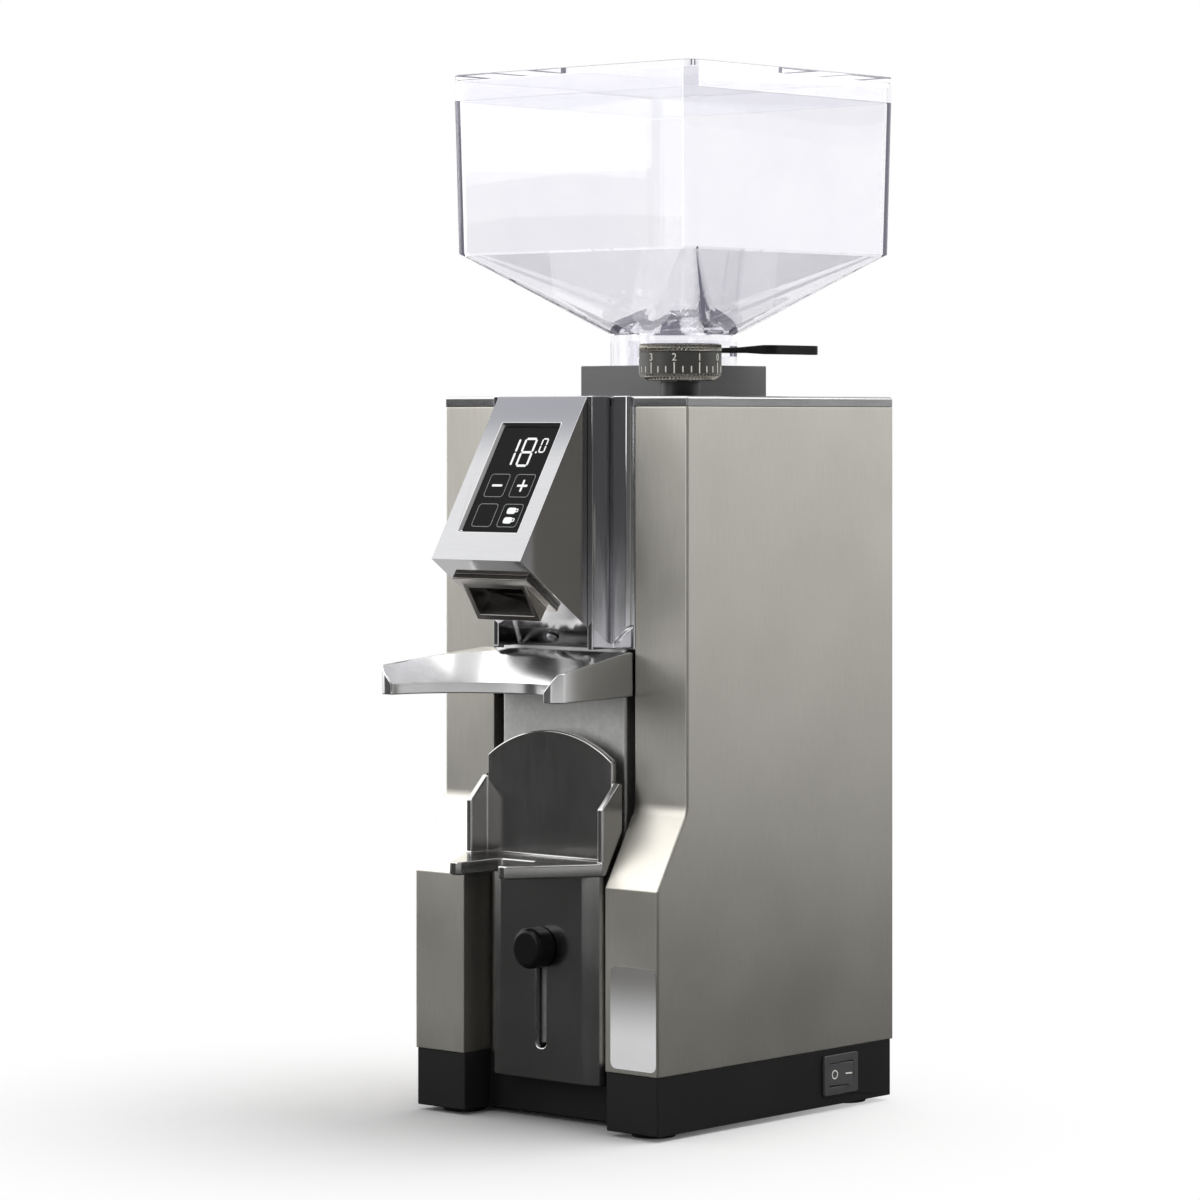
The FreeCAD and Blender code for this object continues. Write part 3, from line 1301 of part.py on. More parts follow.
def make_chassis():
    """Deck on four posts with two uprights that carry the chamber by its lugs."""
    deck = doc.addObject("PartDesign::Body", "chassis_deck")
    wide = "half_width - panel_wall - chassis_margin"
    narrow = "strip_inner - run_gap"
    step = "chassis_margin / 2 - return_back"
    front = "-cell_front"
    back = "body_back - panel_wall - fit_gap"
    sketch = new_sketch(deck, "XY", "chassis_base")
    polygon(sketch, [
        (f"-({narrow})", front), (narrow, front), (narrow, step), (wide, step), (wide, back),
        (f"-({wide})", back), (f"-({wide})", step), (f"-({narrow})", step)])
    circle(sketch, "spindle_across", "spindle_y", "spindle_radius + shaft_gap")
    add(deck, sketch, "chassis_thickness")
    pieces = [deck]
    holes = []
    lug_middle = "chamber_base + lug_height / 2"
    bolts = []
    for sign in (-1, 1):
        low = "upright_place" if sign > 0 else "-upright_place - upright_thickness"
        height = "chamber_base + lug_height - chassis_base"
        pieces.append(block("chassis_upright", ("upright_thickness", "upright_width", height),
                            (low, "grind_axis - upright_width / 2", "chassis_base")))
        length = "upright_thickness + 2 * fit_gap"
        hole = rod("upright_hole", "bolt_radius + fit_gap", length, ("0", "0", "0"))
        turn(hole, Vector(0, 1, 0), f"{90 * sign}")
        place(hole, f"{sign} * (upright_place - fit_gap)", "grind_axis", lug_middle)
        holes.append(hole)
        shank = rod("bolt_shank", "bolt_radius", "upright_thickness + bolt_grip", ("0", "0", "0"))
        turn(shank, Vector(0, 1, 0), f"{90 * sign}")
        place(shank, f"{sign} * (upright_place - bolt_grip)", "grind_axis", lug_middle)
        head = rod("bolt_head", "bolt_head_radius", "bolt_head_height", ("0", "0", "0"))
        turn(head, Vector(0, 1, 0), f"{90 * sign}")
        place(head, f"{sign} * (upright_place + upright_thickness)", "grind_axis", lug_middle)
        bolts.append(joined("chassis_bolt", [shank, head]))
    node(cut("chassis", joined("chassis_frame", pieces), holes), "chassis")
    group("chassis_bolts", bolts)
    posts = []
    across = f"{wide} - post_radius"
    for x in (f"-({across})", across):
        for y in (f"{step} + post_inset", f"{back} - post_inset"):
            posts.append(rod("chassis_post", "post_radius", "chassis_base - floor_top", (x, y, "floor_top")))
    group("chassis_posts", posts)


def make_electrics():
    """Control board in the base, capacitor on the deck, switch in the side, gland at the back."""
    board_z = "floor_top + board_lift"
    half = "board_width / 2"
    near_y = "grind_axis - board_depth / 2"
    far_y = "grind_axis + board_depth / 2"
    board = block("board_sheet", ("board_width", "board_depth", "board_thickness"),
                  (f"-{half}", near_y, board_z))
    parts_z = f"{board_z} + board_thickness"
    relay = block("relay", ("relay_width", "relay_width", "relay_height"),
                  (f"board_lift - {half}", f"{near_y} + board_lift", parts_z))
    transformer = block("transformer", ("transformer_width", "transformer_width", "transformer_height"),
                        (f"{half} - board_lift - transformer_width", f"{near_y} + board_lift", parts_z))
    node(joined("control_board", [board, relay, transformer]), "control_board")
    standoffs = []
    for x in (f"standoff_radius - {half}", f"{half} - standoff_radius"):
        for y in (f"{near_y} + standoff_radius", f"{far_y} - standoff_radius"):
            standoffs.append(rod("standoff", "standoff_radius", "board_lift", (x, y, "floor_top")))
    group("board_standoffs", standoffs)
    node(rod("run_capacitor", "capacitor_radius", "capacitor_height",
             ("-capacitor_across", "grind_axis + capacitor_behind", "chassis_top")), "run_capacitor")
    gland = new_body("cable_gland")
    spin(gland, [
        ("gland_bore", "-panel_wall - gland_length / 2"), ("gland_radius", "-panel_wall - gland_length / 2"),
        ("gland_radius", "0"), ("gland_flange", "0"), ("gland_flange", "panel_wall"),
        ("gland_bore", "panel_wall")])
    turn(gland, Vector(1, 0, 0), "-90")
    place(gland, "0", "body_back", "gland_height")
    make_switch()


def make_switch():
    """Rocker switch in the base's right wall; the rocker turns about an upright pin."""
    wall = "half_width - base_inset"
    half_length = "switch_length / 2"
    half_width = "switch_width / 2"
    housing = new_body("switch_housing")
    sketch = new_sketch(housing, "YZ", wall)
    rounded(sketch, rectangle(
        f"switch_place - {half_length}", f"switch_place + {half_length}",
        f"switch_height - {half_width}", f"switch_height + {half_width}"), "switch_corner")
    add(housing, sketch, "switch_rim_height")
    sketch = new_sketch(housing, "YZ", wall)
    inner_length = f"({half_length} - switch_rim)"
    inner_width = f"({half_width} - switch_rim)"
    polygon(sketch, rectangle(
        f"switch_place - {inner_length}", f"switch_place + {inner_length}",
        f"switch_height - {inner_width}", f"switch_height + {inner_width}"))
    add(housing, sketch, "switch_depth", backward=True)
    sketch = new_sketch(housing, "YZ", f"{wall} + switch_rim_height")
    well_length = f"({inner_length} - switch_skin)"
    well_width = f"({inner_width} - switch_skin)"
    polygon(sketch, rectangle(
        f"switch_place - {well_length}", f"switch_place + {well_length}",
        f"switch_height - {well_width}", f"switch_height + {well_width}"))
    remove(housing, sketch, "switch_rim_height + switch_depth - switch_skin")
    pin_x = f"{wall} - rocker_seat"
    sketch = new_sketch(housing, "XY", f"switch_height - {inner_width}")
    circle(sketch, pin_x, "switch_place", "rocker_pin_radius + shaft_gap")
    remove(housing, sketch, f"2 * {inner_width}", backward=True)
    rocker = new_body("switch_rocker")
    reach = f"{well_length} - rocker_play"
    height = f"2 * {well_width} - 2 * run_gap"
    sketch = new_sketch(rocker, "XY", f"-({height}) / 2")
    polygon(sketch, [
        ("-rocker_seat", f"-({reach}) / 2"), ("rocker_rise / 2", f"-({reach})"),
        ("rocker_seat + rocker_rise", f"-({reach})"), ("rocker_seat + rocker_rise / 2", "0"),
        ("rocker_seat + rocker_rise", reach), ("rocker_rise / 2", reach),
        ("-rocker_seat", f"({reach}) / 2")])
    add(rocker, sketch, height)
    sketch = new_sketch(rocker, "XY", f"-{inner_width}")
    circle(sketch, "0", "0", "rocker_pin_radius")
    add(rocker, sketch, f"2 * {inner_width}")
    turn(rocker, Vector(0, 0, 1), "-rocker_tilt")
    place(rocker, pin_x, "switch_place", "switch_height")


def hopper_outline(body, height, inset):
    """Rounded rectangle of the hopper's plan, drawn in by an inset at a height."""
    sketch = new_sketch(body, "XY", height)
    half_x = f"(hopper_width / 2 - ({inset}))"
    half_y = f"(hopper_depth / 2 - ({inset}))"
    rounded(sketch, rectangle(f"-{half_x}", half_x, f"-{half_y}", half_y),
            f"hopper_corner - ({inset}) / 2")
    return sketch


def neck_outline(body, height, radius):
    """Outline at the foot of the funnel, round but for a short flat on each side."""
    sketch = new_sketch(body, "XY", height)
    rounded(sketch, rectangle(f"-({radius})", radius, f"-({radius})", radius), f"{radius} - neck_flat")
    return sketch


def loft(body, kind, sketches):
    """Ruled loft, added or taken away."""
    feature = body.newObject("PartDesign::" + kind, body.Name + "_loft")
    feature.Profile = sketches[0]
    feature.Sections = sketches[1:]
    feature.Ruled = True
    doc.recompute()
    return feature


def make_hopper():
    """Clear hopper on its collar: funnel, walls, double neck, lift-off lid and sliding gate."""
    collar = new_body("hopper_collar")
    half = "collar_width / 2"
    sketch = new_sketch(collar, "XY", "roof")
    polygon(sketch, rectangle(f"-{half}", half, f"grind_axis - {half}", f"grind_axis + {half}"))
    circle(sketch, "0", "grind_axis", "throat_radius")
    add(collar, sketch, "collar_height")
    hopper = around_axis(new_body("hopper"))
    loft(hopper, "AdditiveLoft", [
        neck_outline(hopper, "funnel_bottom", "neck_radius"),
        hopper_outline(hopper, "crease", "hopper_taper"),
        hopper_outline(hopper, "skirt_bottom", "0")])
    sketch = hopper_outline(hopper, "skirt_bottom", "lid_skirt + run_gap")
    add(hopper, sketch, "rim_height")
    sketch = new_sketch(hopper, "XY", "collar_top")
    circle(sketch, "0", "0", "neck_radius")
    add(hopper, sketch, "neck_height")
    loft(hopper, "SubtractiveLoft", [
        neck_outline(hopper, "funnel_bottom + hopper_wall", "throat_radius"),
        hopper_outline(hopper, "crease", "hopper_taper + hopper_wall"),
        hopper_outline(hopper, "skirt_bottom", "hopper_wall")])
    sketch = hopper_outline(hopper, "rim_top", "hopper_wall")
    remove(hopper, sketch, "rim_height")
    sketch = new_sketch(hopper, "XY", "collar_top")
    circle(sketch, "0", "0", "throat_radius")
    remove(hopper, sketch, "neck_height + hopper_wall", backward=True)
    sketch = new_sketch(hopper, "XY", "collar_top")
    circle(sketch, "0", "0", "neck_radius - hopper_wall")
    circle(sketch, "0", "0", "throat_radius + hopper_wall")
    remove(hopper, sketch, "neck_height - hopper_wall", backward=True)
    sketch = new_sketch(hopper, "YZ", "-throat_radius - gate_tongue - run_gap")
    side = "gate_width / 2 + run_gap"
    rise = "gate_tab_thickness / 2 + run_gap"
    polygon(sketch, rectangle(f"-({side})", side, f"gate_z - ({rise})", f"gate_z + {rise}"))
    remove(hopper, sketch, "neck_radius + throat_radius + gate_tongue + 2 * run_gap", backward=True)
    lid = around_axis(new_body("hopper_lid"))
    sketch = hopper_outline(lid, "skirt_bottom", "0")
    add(lid, sketch, "lid_z + lid_top - skirt_bottom")
    sketch = hopper_outline(lid, "skirt_bottom", "lid_skirt")
    remove(lid, sketch, "lid_z - skirt_bottom", backward=True)
    make_gate()


def make_gate():
    """Black slide in the neck that shuts the throat when it is pushed in."""
    gate = around_axis(new_body("hopper_gate"))
    thin = "gate_thickness / 2"
    thick = "gate_tab_thickness / 2"
    tab = "gate_reach - gate_tab_length"
    sketch = new_sketch(gate, "XZ", "-gate_width / 2")
    polygon(sketch, [
        ("throat_radius + gate_tongue", f"gate_z - {thin}"), ("neck_radius", f"gate_z - {thin}"),
        (tab, f"gate_z - {thick}"), ("gate_reach", f"gate_z - {thick}"), ("gate_reach", f"gate_z + {thick}"),
        (tab, f"gate_z + {thick}"), ("neck_radius", f"gate_z + {thin}"),
        ("throat_radius + gate_tongue", f"gate_z + {thin}")])
    add(gate, sketch, "gate_width")
    ease(gate, "gate_corner", lambda edge: upright(edge) and near(edge.CenterOfMass.x, "gate_reach"))


def check_and_export():
    """Refuse failed features and empty shapes, then write one file for each sub-part."""
    doc.recompute()
    for item in doc.Objects:
        if "Invalid" in item.State or "Error" in item.State:
            raise ValueError(item.Label + " failed")
    for item in NODES:
        if item.Shape.isNull() or not item.Shape.isValid():
            raise ValueError(item.Label + " has no valid shape")
    os.makedirs("parts", exist_ok=True)
    for item in NODES:
        item.Shape.exportStep(os.path.join("parts", item.Label + ".step"))


make_base()
make_side_panel("left_side_panel", -1)
make_side_panel("right_side_panel", 1)
make_rear_panel()
make_top_cover()
make_front_trim()
make_backing()
make_head()
make_hood()
make_fork()
make_clamp()
make_weighing()
make_chamber()
make_burrs()
make_motor()
make_adjuster()
make_chassis()
make_electrics()
make_hopper()
check_and_export()
print(len(NODES), "sub-parts written")
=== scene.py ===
# %% [markdown]
# # A burr coffee grinder
# The grinder's solids come from its CAD source, packed as a fixed frame in metres.
# This lesson copies each solid that shows, softens its corners and gives it a finish made of nodes.
# The dial's knurling, the marks on the display and other small things are modelled here, because they
# are too fine for the solids.

# %% Load the frame
import json
import math

import bmesh
import bpy
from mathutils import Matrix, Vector

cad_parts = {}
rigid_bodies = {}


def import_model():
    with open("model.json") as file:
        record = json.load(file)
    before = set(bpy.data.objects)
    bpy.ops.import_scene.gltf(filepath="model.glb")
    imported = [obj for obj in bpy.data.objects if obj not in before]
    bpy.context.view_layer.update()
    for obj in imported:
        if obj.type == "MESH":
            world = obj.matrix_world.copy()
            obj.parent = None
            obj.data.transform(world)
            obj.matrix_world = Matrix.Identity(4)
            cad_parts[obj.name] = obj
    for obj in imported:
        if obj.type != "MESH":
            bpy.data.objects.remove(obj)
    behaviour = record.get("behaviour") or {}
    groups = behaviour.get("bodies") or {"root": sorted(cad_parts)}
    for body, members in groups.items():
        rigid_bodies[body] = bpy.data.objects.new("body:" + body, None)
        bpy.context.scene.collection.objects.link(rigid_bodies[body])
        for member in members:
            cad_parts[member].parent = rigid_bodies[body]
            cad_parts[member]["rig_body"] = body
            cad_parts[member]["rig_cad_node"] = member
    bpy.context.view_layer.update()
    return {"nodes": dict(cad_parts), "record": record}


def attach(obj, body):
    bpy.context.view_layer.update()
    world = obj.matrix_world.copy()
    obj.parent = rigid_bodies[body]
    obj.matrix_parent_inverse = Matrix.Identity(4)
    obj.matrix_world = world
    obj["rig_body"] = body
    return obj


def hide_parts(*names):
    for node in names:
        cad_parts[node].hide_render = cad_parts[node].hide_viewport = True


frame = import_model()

MM = 0.001
node_slot = {row["node"]: row["material_slot"] for row in frame["record"]["subparts"]}
node_body = {node: body for body, nodes in frame["record"]["behaviour"]["bodies"].items() for node in nodes}

# %% [markdown]
# ## Camera
# A product picture is taken from far away with a long lens, so that the shape isn't stretched. The camera could be
# tilted down to centre the grinder, but its upright edges would then lean together. So it stays level, a little
# above the middle of the body, and the lens shift lowers the frame, as a view camera does.

# %% Camera
EYE = Vector((1.0881, -1.2448, 0.2581))
HEADING = math.radians(41.5)
LENS, SENSOR, FRAME_SHIFT = 132.3, 36, -0.149
bpy.ops.object.camera_add(location=EYE, rotation=(math.pi / 2, 0, HEADING))
camera = bpy.context.active_object
camera.name = "product_camera"
camera.data.lens = LENS
camera.data.sensor_width = SENSOR
camera.data.shift_y = FRAME_SHIFT
bpy.context.scene.camera = camera
bpy.context.scene.view_settings.view_transform = "Standard"
print("camera", [round(c, 3) for c in camera.location])

# %% [markdown]
# ## Node helpers
# A material or a world is a net of nodes. Adding a node takes three steps by hand: place it, set its fields
# and join its sockets. One helper does all three, and five small ones wrap the nodes that come back most often,
# so that each finish reads as a short list.


# %% Node helpers
def put(tree, kind, feeds=(), **fields):
    """Add a node, set its fields, and join or fill its inputs."""
    made = tree.nodes.new(kind)
    for field, value in fields.items():
        setattr(made, field, value)
    for name, source in dict(feeds).items():
        if isinstance(source, bpy.types.NodeSocket):
            tree.links.new(source, made.inputs[name])
        else:
            made.inputs[name].default_value = source
    return made


def on_object(tree):
    """Where a point lies on its own object."""
    return put(tree, "ShaderNodeTexCoord").outputs["Object"]


def calc(tree, operation, first, second):
    """One sum on two values from 0 to 1, with its result kept in that range."""
    return put(tree, "ShaderNodeMath", {0: first, 1: second}, operation=operation, use_clamp=True).outputs[0]


def ramp(tree, value, start, end, low=0.0, high=1.0, way="SMOOTHSTEP"):
    """A change from low to high while a value goes from start to end."""
    feeds = {"Value": value, 1: start, 2: end, 3: low, 4: high}
    return put(tree, "ShaderNodeMapRange", feeds, interpolation_type=way).outputs[0]


def between(tree, share, first, second):
    """A colour on the way from one to another."""
    return put(tree, "ShaderNodeMix", {0: share, 6: first, 7: second}, data_type="RGBA").outputs[2]


def noise(tree, place, scale, detail, roughness=0.5):
    """A cloudy value from 0 to 1 that depends on a place."""
    feeds = {"Vector": place, "Scale": scale, "Detail": detail, "Roughness": roughness}
    return put(tree, "ShaderNodeTexNoise", feeds).outputs["Fac"]


def tone(red, green, blue):
    """A colour as a picture editor shows it, from 0 to 255, turned into the linear numbers that shaders use."""
    linear = [c / 255 / 12.92 if c <= 10 else ((c / 255 + 0.055) / 1.055) ** 2.4 for c in (red, green, blue)]
    return (*linear, 1)


print("a middle grey, as shaders see it", round(tone(128, 128, 128)[0], 3))

# %% [markdown]
# ## Studio
# Polished metal shows the room around it, so the room has to be designed as much as the metal. A panorama
# of a studio would do, but a few nodes need no file and each can be set by itself.
# The camera and glass see plain white. Mirrors see a room that is white behind the grinder and overhead and
# grows dim towards the camera, as a real studio does. Diffuse surfaces get an even fill.

# %% Studio world
WHITE = (1, 1, 1, 1)
BEHIND = Vector((-math.sin(HEADING), math.cos(HEADING), 0))
WALL_DIM, WALL_WHITE, DIMMEST = -0.30, 0.85, 0.12
ROOF_EDGE, ROOF_WHITE = 0.30, 0.90
FILL = 0.70
world = bpy.data.worlds.new("studio")
bpy.context.scene.world = world
world.use_nodes = True
room = world.node_tree
room.nodes.clear()
direction = put(room, "ShaderNodeTexCoord").outputs["Generated"]
facing = put(room, "ShaderNodeVectorMath", {0: direction, 1: BEHIND}, operation="DOT_PRODUCT").outputs["Value"]
height = put(room, "ShaderNodeSeparateXYZ", {0: direction}).outputs["Z"]
bright = calc(room, "MAXIMUM", ramp(room, facing, WALL_DIM, WALL_WHITE, DIMMEST),
              ramp(room, height, ROOF_EDGE, ROOF_WHITE))
path = put(room, "ShaderNodeLightPath").outputs
seen = calc(room, "ADD", path["Is Camera Ray"], path["Is Transmission Ray"])
shown = calc(room, "ADD", seen, path["Is Glossy Ray"])
backdrop = put(room, "ShaderNodeBackground", {"Color": between(room, seen, bright, WHITE), "Strength": 1.0})
fill = put(room, "ShaderNodeBackground", {"Color": WHITE, "Strength": FILL})
mixed = put(room, "ShaderNodeMixShader", {0: shown, 1: fill.outputs[0], 2: backdrop.outputs[0]})
put(room, "ShaderNodeOutputWorld", {"Surface": mixed.outputs[0]})
print("world nodes", len(room.nodes))

# %% [markdown]
# ## Softboxes
# A softbox is a lamp behind a large sheet of white cloth. A glowing plane would do, but an area light is the same
# thing with less noise. One hangs overhead towards the back right, so the shadow falls to the front left. A large
# one high at the left front whitens the slanted faces, and narrow ones at the sides lift the brushed strips.
# These light only gloss, so that they throw no second shadow.

# %% Softboxes
GRINDER_MIDDLE = Vector((0, 0, 0.2))
GLOSS_BOXES = (
    ("key_softbox", (-1.06, -0.56, 1.26), (2.4, 2.4), 28),
    ("side_softbox", (1.2, 1.3, 0.85), (0.8, 0.7), 5.2),
    ("left_softbox", (-1.35, -0.55, 0.6), (0.6, 1.1), 2.4),
    ("front_softbox", (-0.45, -1.45, 0.7), (0.4, 1.0), 4.4))


def softbox(name, place, size, power):
    """An area light at a place in metres, turned to face the grinder."""
    bpy.ops.object.light_add(type="AREA", location=place)
    lamp = bpy.context.active_object
    lamp.name = name
    lamp.data.shape = "RECTANGLE"
    lamp.data.size, lamp.data.size_y = size
    lamp.data.energy = power
    lamp.rotation_euler = (GRINDER_MIDDLE - Vector(place)).to_track_quat("-Z", "Y").to_euler()
    lamp.visible_camera = False
    print(name, power, "W")
    return lamp


softbox("top_softbox", (0.35, 0.45, 1.6), (1.2, 1.2), 12)
for row in GLOSS_BOXES:
    softbox(*row).visible_diffuse = False

# %% [markdown]
# ## Floor
# The floor is a white disc. A plain white floor would show a horizon, and a glowing one would lose the shadow.
# So close to the grinder it is a matt surface that keeps the shadow, and further out it turns into the same white
# as the background for the camera, glass and mirrors.

# %% Floor
FLOOR_RADIUS = 4
SHADOW_MIDDLE, SHADOW_NEAR, SHADOW_FAR = (-0.03, -0.05, 0), 0.05, 0.25
PAPER_DARK, PAPER_LIGHT = (0.90, 0.90, 0.90, 1), (0.93, 0.93, 0.93, 1)
FIBRE_SCALE, FIBRE_DETAIL = 40.0, 3.0


def start(add, name, **fields):
    """Add an object by one of Blender's operators, with nothing else selected."""
    bpy.ops.object.select_all(action="DESELECT")
    add(**fields)
    made = bpy.context.active_object
    made.name = name
    return made


def blank(name):
    """A material whose net of nodes is still empty."""
    material = bpy.data.materials.new(name)
    material.use_nodes = True
    material.node_tree.nodes.clear()
    return material


floor = start(bpy.ops.mesh.primitive_circle_add, "studio_floor", vertices=96, radius=FLOOR_RADIUS, fill_type="NGON",
              location=(0, 0, 0))
paper = blank("floor_paper")
net = paper.node_tree
spot = on_object(net)
spread = put(net, "ShaderNodeVectorMath", {0: spot, 1: SHADOW_MIDDLE}, operation="SUBTRACT").outputs[0]
away = put(net, "ShaderNodeVectorMath", {0: spread}, operation="LENGTH").outputs["Value"]
path = put(net, "ShaderNodeLightPath").outputs
seen = calc(net, "ADD", path["Is Camera Ray"], path["Is Glossy Ray"])
seen = calc(net, "ADD", seen, path["Is Transmission Ray"])
share = calc(net, "MULTIPLY", ramp(net, away, SHADOW_NEAR, SHADOW_FAR), seen)
sheet = between(net, noise(net, spot, FIBRE_SCALE, FIBRE_DETAIL), PAPER_DARK, PAPER_LIGHT)
matt = put(net, "ShaderNodeBsdfDiffuse", {"Color": sheet})
white = put(net, "ShaderNodeEmission", {"Color": WHITE, "Strength": 1.0})
mixed = put(net, "ShaderNodeMixShader", {0: share, 1: matt.outputs[0], 2: white.outputs[0]})
put(net, "ShaderNodeOutputMaterial", {"Surface": mixed.outputs[0]})
floor.data.materials.append(paper)
print("floor radius", FLOOR_RADIUS, "m")

# %% [markdown]
# ## Cards
# A photographer lays black cards where polished metal would otherwise mirror an empty white table, and small
# white ones where an edge should shine. One round black card lies under the grinder and one stands at the front
# left. A white one lies at the left, for the lip of the display head. Only mirrors see them: the camera, the
# shadow on the floor and the fill light pass through.

# %% Cards
TABLE_CARD_RADIUS, TABLE_CARD_PLACE = 1.05, (0, 0, 0.0006)
FRONT_CARD_PLACE, FRONT_CARD_SIZE = (-0.62, -0.74, 0.17), (0.30, 0.46, 1)
LIP_CARD_PLACE, LIP_CARD_SIZE = (-0.20, 0.0, 0.0012), (0.16, 0.14, 1)
NAP_SCALE, NAP_DETAIL = 60.0, 2.0


def card(made, ink):
    """Make an object a card that shows in reflections alone."""
    for ray in ("visible_camera", "visible_diffuse", "visible_transmission", "visible_shadow"):
        setattr(made, ray, False)
    made.data.materials.append(ink)
    return made


def card_ink(name, shader, dark, light):
    """A matt or a shining ink with a faint nap."""
    ink = blank(name)
    net = ink.node_tree
    nap = noise(net, on_object(net), NAP_SCALE, NAP_DETAIL)
    surface = put(net, shader, {"Color": between(net, nap, (*[dark] * 3, 1), (*[light] * 3, 1))})
    put(net, "ShaderNodeOutputMaterial", {"Surface": surface.outputs[0]})
    return ink


black_ink = card_ink("card_black", "ShaderNodeBsdfDiffuse", 0.05, 0.07)
white_ink = card_ink("card_white", "ShaderNodeEmission", 0.95, 1.0)
table_card = card(start(bpy.ops.mesh.primitive_circle_add, "table_card", vertices=64, radius=TABLE_CARD_RADIUS,
                        fill_type="NGON", location=TABLE_CARD_PLACE), black_ink)
front_card = card(start(bpy.ops.mesh.primitive_plane_add, "front_card", size=1, location=FRONT_CARD_PLACE,
                        rotation=(math.pi / 2, 0, -HEADING)), black_ink)
front_card.scale = FRONT_CARD_SIZE
lip_card = card(start(bpy.ops.mesh.primitive_plane_add, "lip_card", size=1, location=LIP_CARD_PLACE), white_ink)
lip_card.scale = LIP_CARD_SIZE
print("cards", table_card.name, front_card.name, lip_card.name)

# %% [markdown]
# ## Finishes: shared patterns
# Brushed, satin and polished metal differ only in how long and how deep their scratches are, and moulded
# plastic only in the size of its grain. Each material could have its own net, but then every change would have to
# be made many times. So each pattern is a node group, built once and placed in every material with its own
# numbers. It reads Object coordinates, so the pattern stays put on the piece.

# %% Pattern groups
SCRATCH_ROUGHNESS, CLOUD_DETAIL = 0.62, 4.0
EVEN_FROM, EVEN_TO = 0.3, 0.7


def new_group(name, inputs, outputs):
    """A shader node group with named sockets. Returns it with the sockets that it is given and that it gives."""
    group = bpy.data.node_groups.new(name, "ShaderNodeTree")
    for way, sockets in (("INPUT", inputs), ("OUTPUT", outputs)):
        for label, kind in sockets:
            group.interface.new_socket(label, in_out=way, socket_type="NodeSocket" + kind)
    return group, group.nodes.new("NodeGroupInput").outputs, group.nodes.new("NodeGroupOutput").inputs


def pattern(name, detail, cloud_scale, cloud_share):
    """Fine noise over soft clouds, turned into a colour, a roughness and a height, and a slow wave."""
    group, given, gives = new_group(
        name, [("Light Tone", "Color"), ("Deep Tone", "Color"), ("Grain", "Vector"), ("Swell", "Vector"),
               ("Smooth", "Float"), ("Rough", "Float")],
        [("Color", "Color"), ("Roughness", "Float"), ("Height", "Float"), ("Wave", "Float")])
    place = on_object(group)
    scaled, rolling = [put(group, "ShaderNodeVectorMath", {0: place, 1: given[label]}, operation="MULTIPLY").outputs[0]
                       for label in ("Grain", "Swell")]
    fine = noise(group, scaled, 1.0, detail, SCRATCH_ROUGHNESS)
    cloud = noise(group, place, cloud_scale, CLOUD_DETAIL)
    both = put(group, "ShaderNodeMix", {0: cloud_share, 2: fine, 3: cloud}).outputs[0]
    even = ramp(group, both, EVEN_FROM, EVEN_TO, way="LINEAR")
    rough = ramp(group, even, 0.0, 1.0, given["Smooth"], given["Rough"], way="LINEAR")
    for label, source in (("Color", between(group, even, given["Deep Tone"], given["Light Tone"])),
                          ("Roughness", rough), ("Height", fine), ("Wave", noise(group, rolling, 1.0, 1.0))):
        group.links.new(source, gives[label])
    return group


metal_grain = pattern("metal_grain", 6.0, 18.0, 0.45)
moulded_grain = pattern("moulded_grain", 2.0, 30.0, 0.35)
print("groups", metal_grain.name, moulded_grain.name)

# %% [markdown]
# ## Finishes: one maker for all
# Every finish is one Principled shader fed by a pattern group. What is the same all over, such as how metallic
# it is, is set on the shader itself. Height goes through a Bump node, with a depth of a few micrometres.
# Hand-polished metal is never quite flat, so a slow swell can tilt its reflections instead.


# %% Finish maker
def finish(name, group, light, deep, grain, smooth, rough, depth=0.0, swell=None, **plain):
    """A material whose colour, roughness and bump come from a pattern group; swell is its scale and its depth."""
    material = bpy.data.materials.new(name)
    material.use_nodes = True
    tree = material.node_tree
    shader = tree.nodes["Principled BSDF"]
    made = put(tree, "ShaderNodeGroup", node_tree=group)
    for label, value in (("Light Tone", light), ("Deep Tone", deep), ("Grain", grain),
                         ("Smooth", smooth), ("Rough", rough)):
        made.inputs[label].default_value = value
    tree.links.new(made.outputs["Color"], shader.inputs["Base Color"])
    tree.links.new(made.outputs["Roughness"], shader.inputs["Roughness"])
    source, amount = ("Height", depth) if swell is None else ("Wave", swell[1])
    if swell:
        made.inputs["Swell"].default_value = swell[0]
    if amount:
        bump = put(tree, "ShaderNodeBump", {"Height": made.outputs[source], "Strength": 1.0, "Distance": amount})
        tree.links.new(bump.outputs["Normal"], shader.inputs["Normal"])
    for label, value in plain.items():
        shader.inputs[label.replace("_", " ")].default_value = value
    return material


def metal(name, light, deep, grain, smooth, rough, depth=0.0, swell=None):
    """A metal: grain is how often the scratches repeat in a metre along each axis."""
    return finish(name, metal_grain, light, deep, grain, smooth, rough, depth, swell, Metallic=1.0)


def moulded(name, light, deep, size, smooth, rough, depth=0.0, **plain):
    """Plastic or rubber: size is the grain in millimetres."""
    return finish(name, moulded_grain, light, deep, [1 / (size * MM)] * 3, smooth, rough, depth, None, **plain)


# %% [markdown]
# ## Finishes: metals
# The side panels are brushed steel with upright grain, so their noise is stretched along Z.
# The trim, the head, the hood and the fork are polished: the same group with little roughness.
# Cast and turned parts inside get a coarser grain.

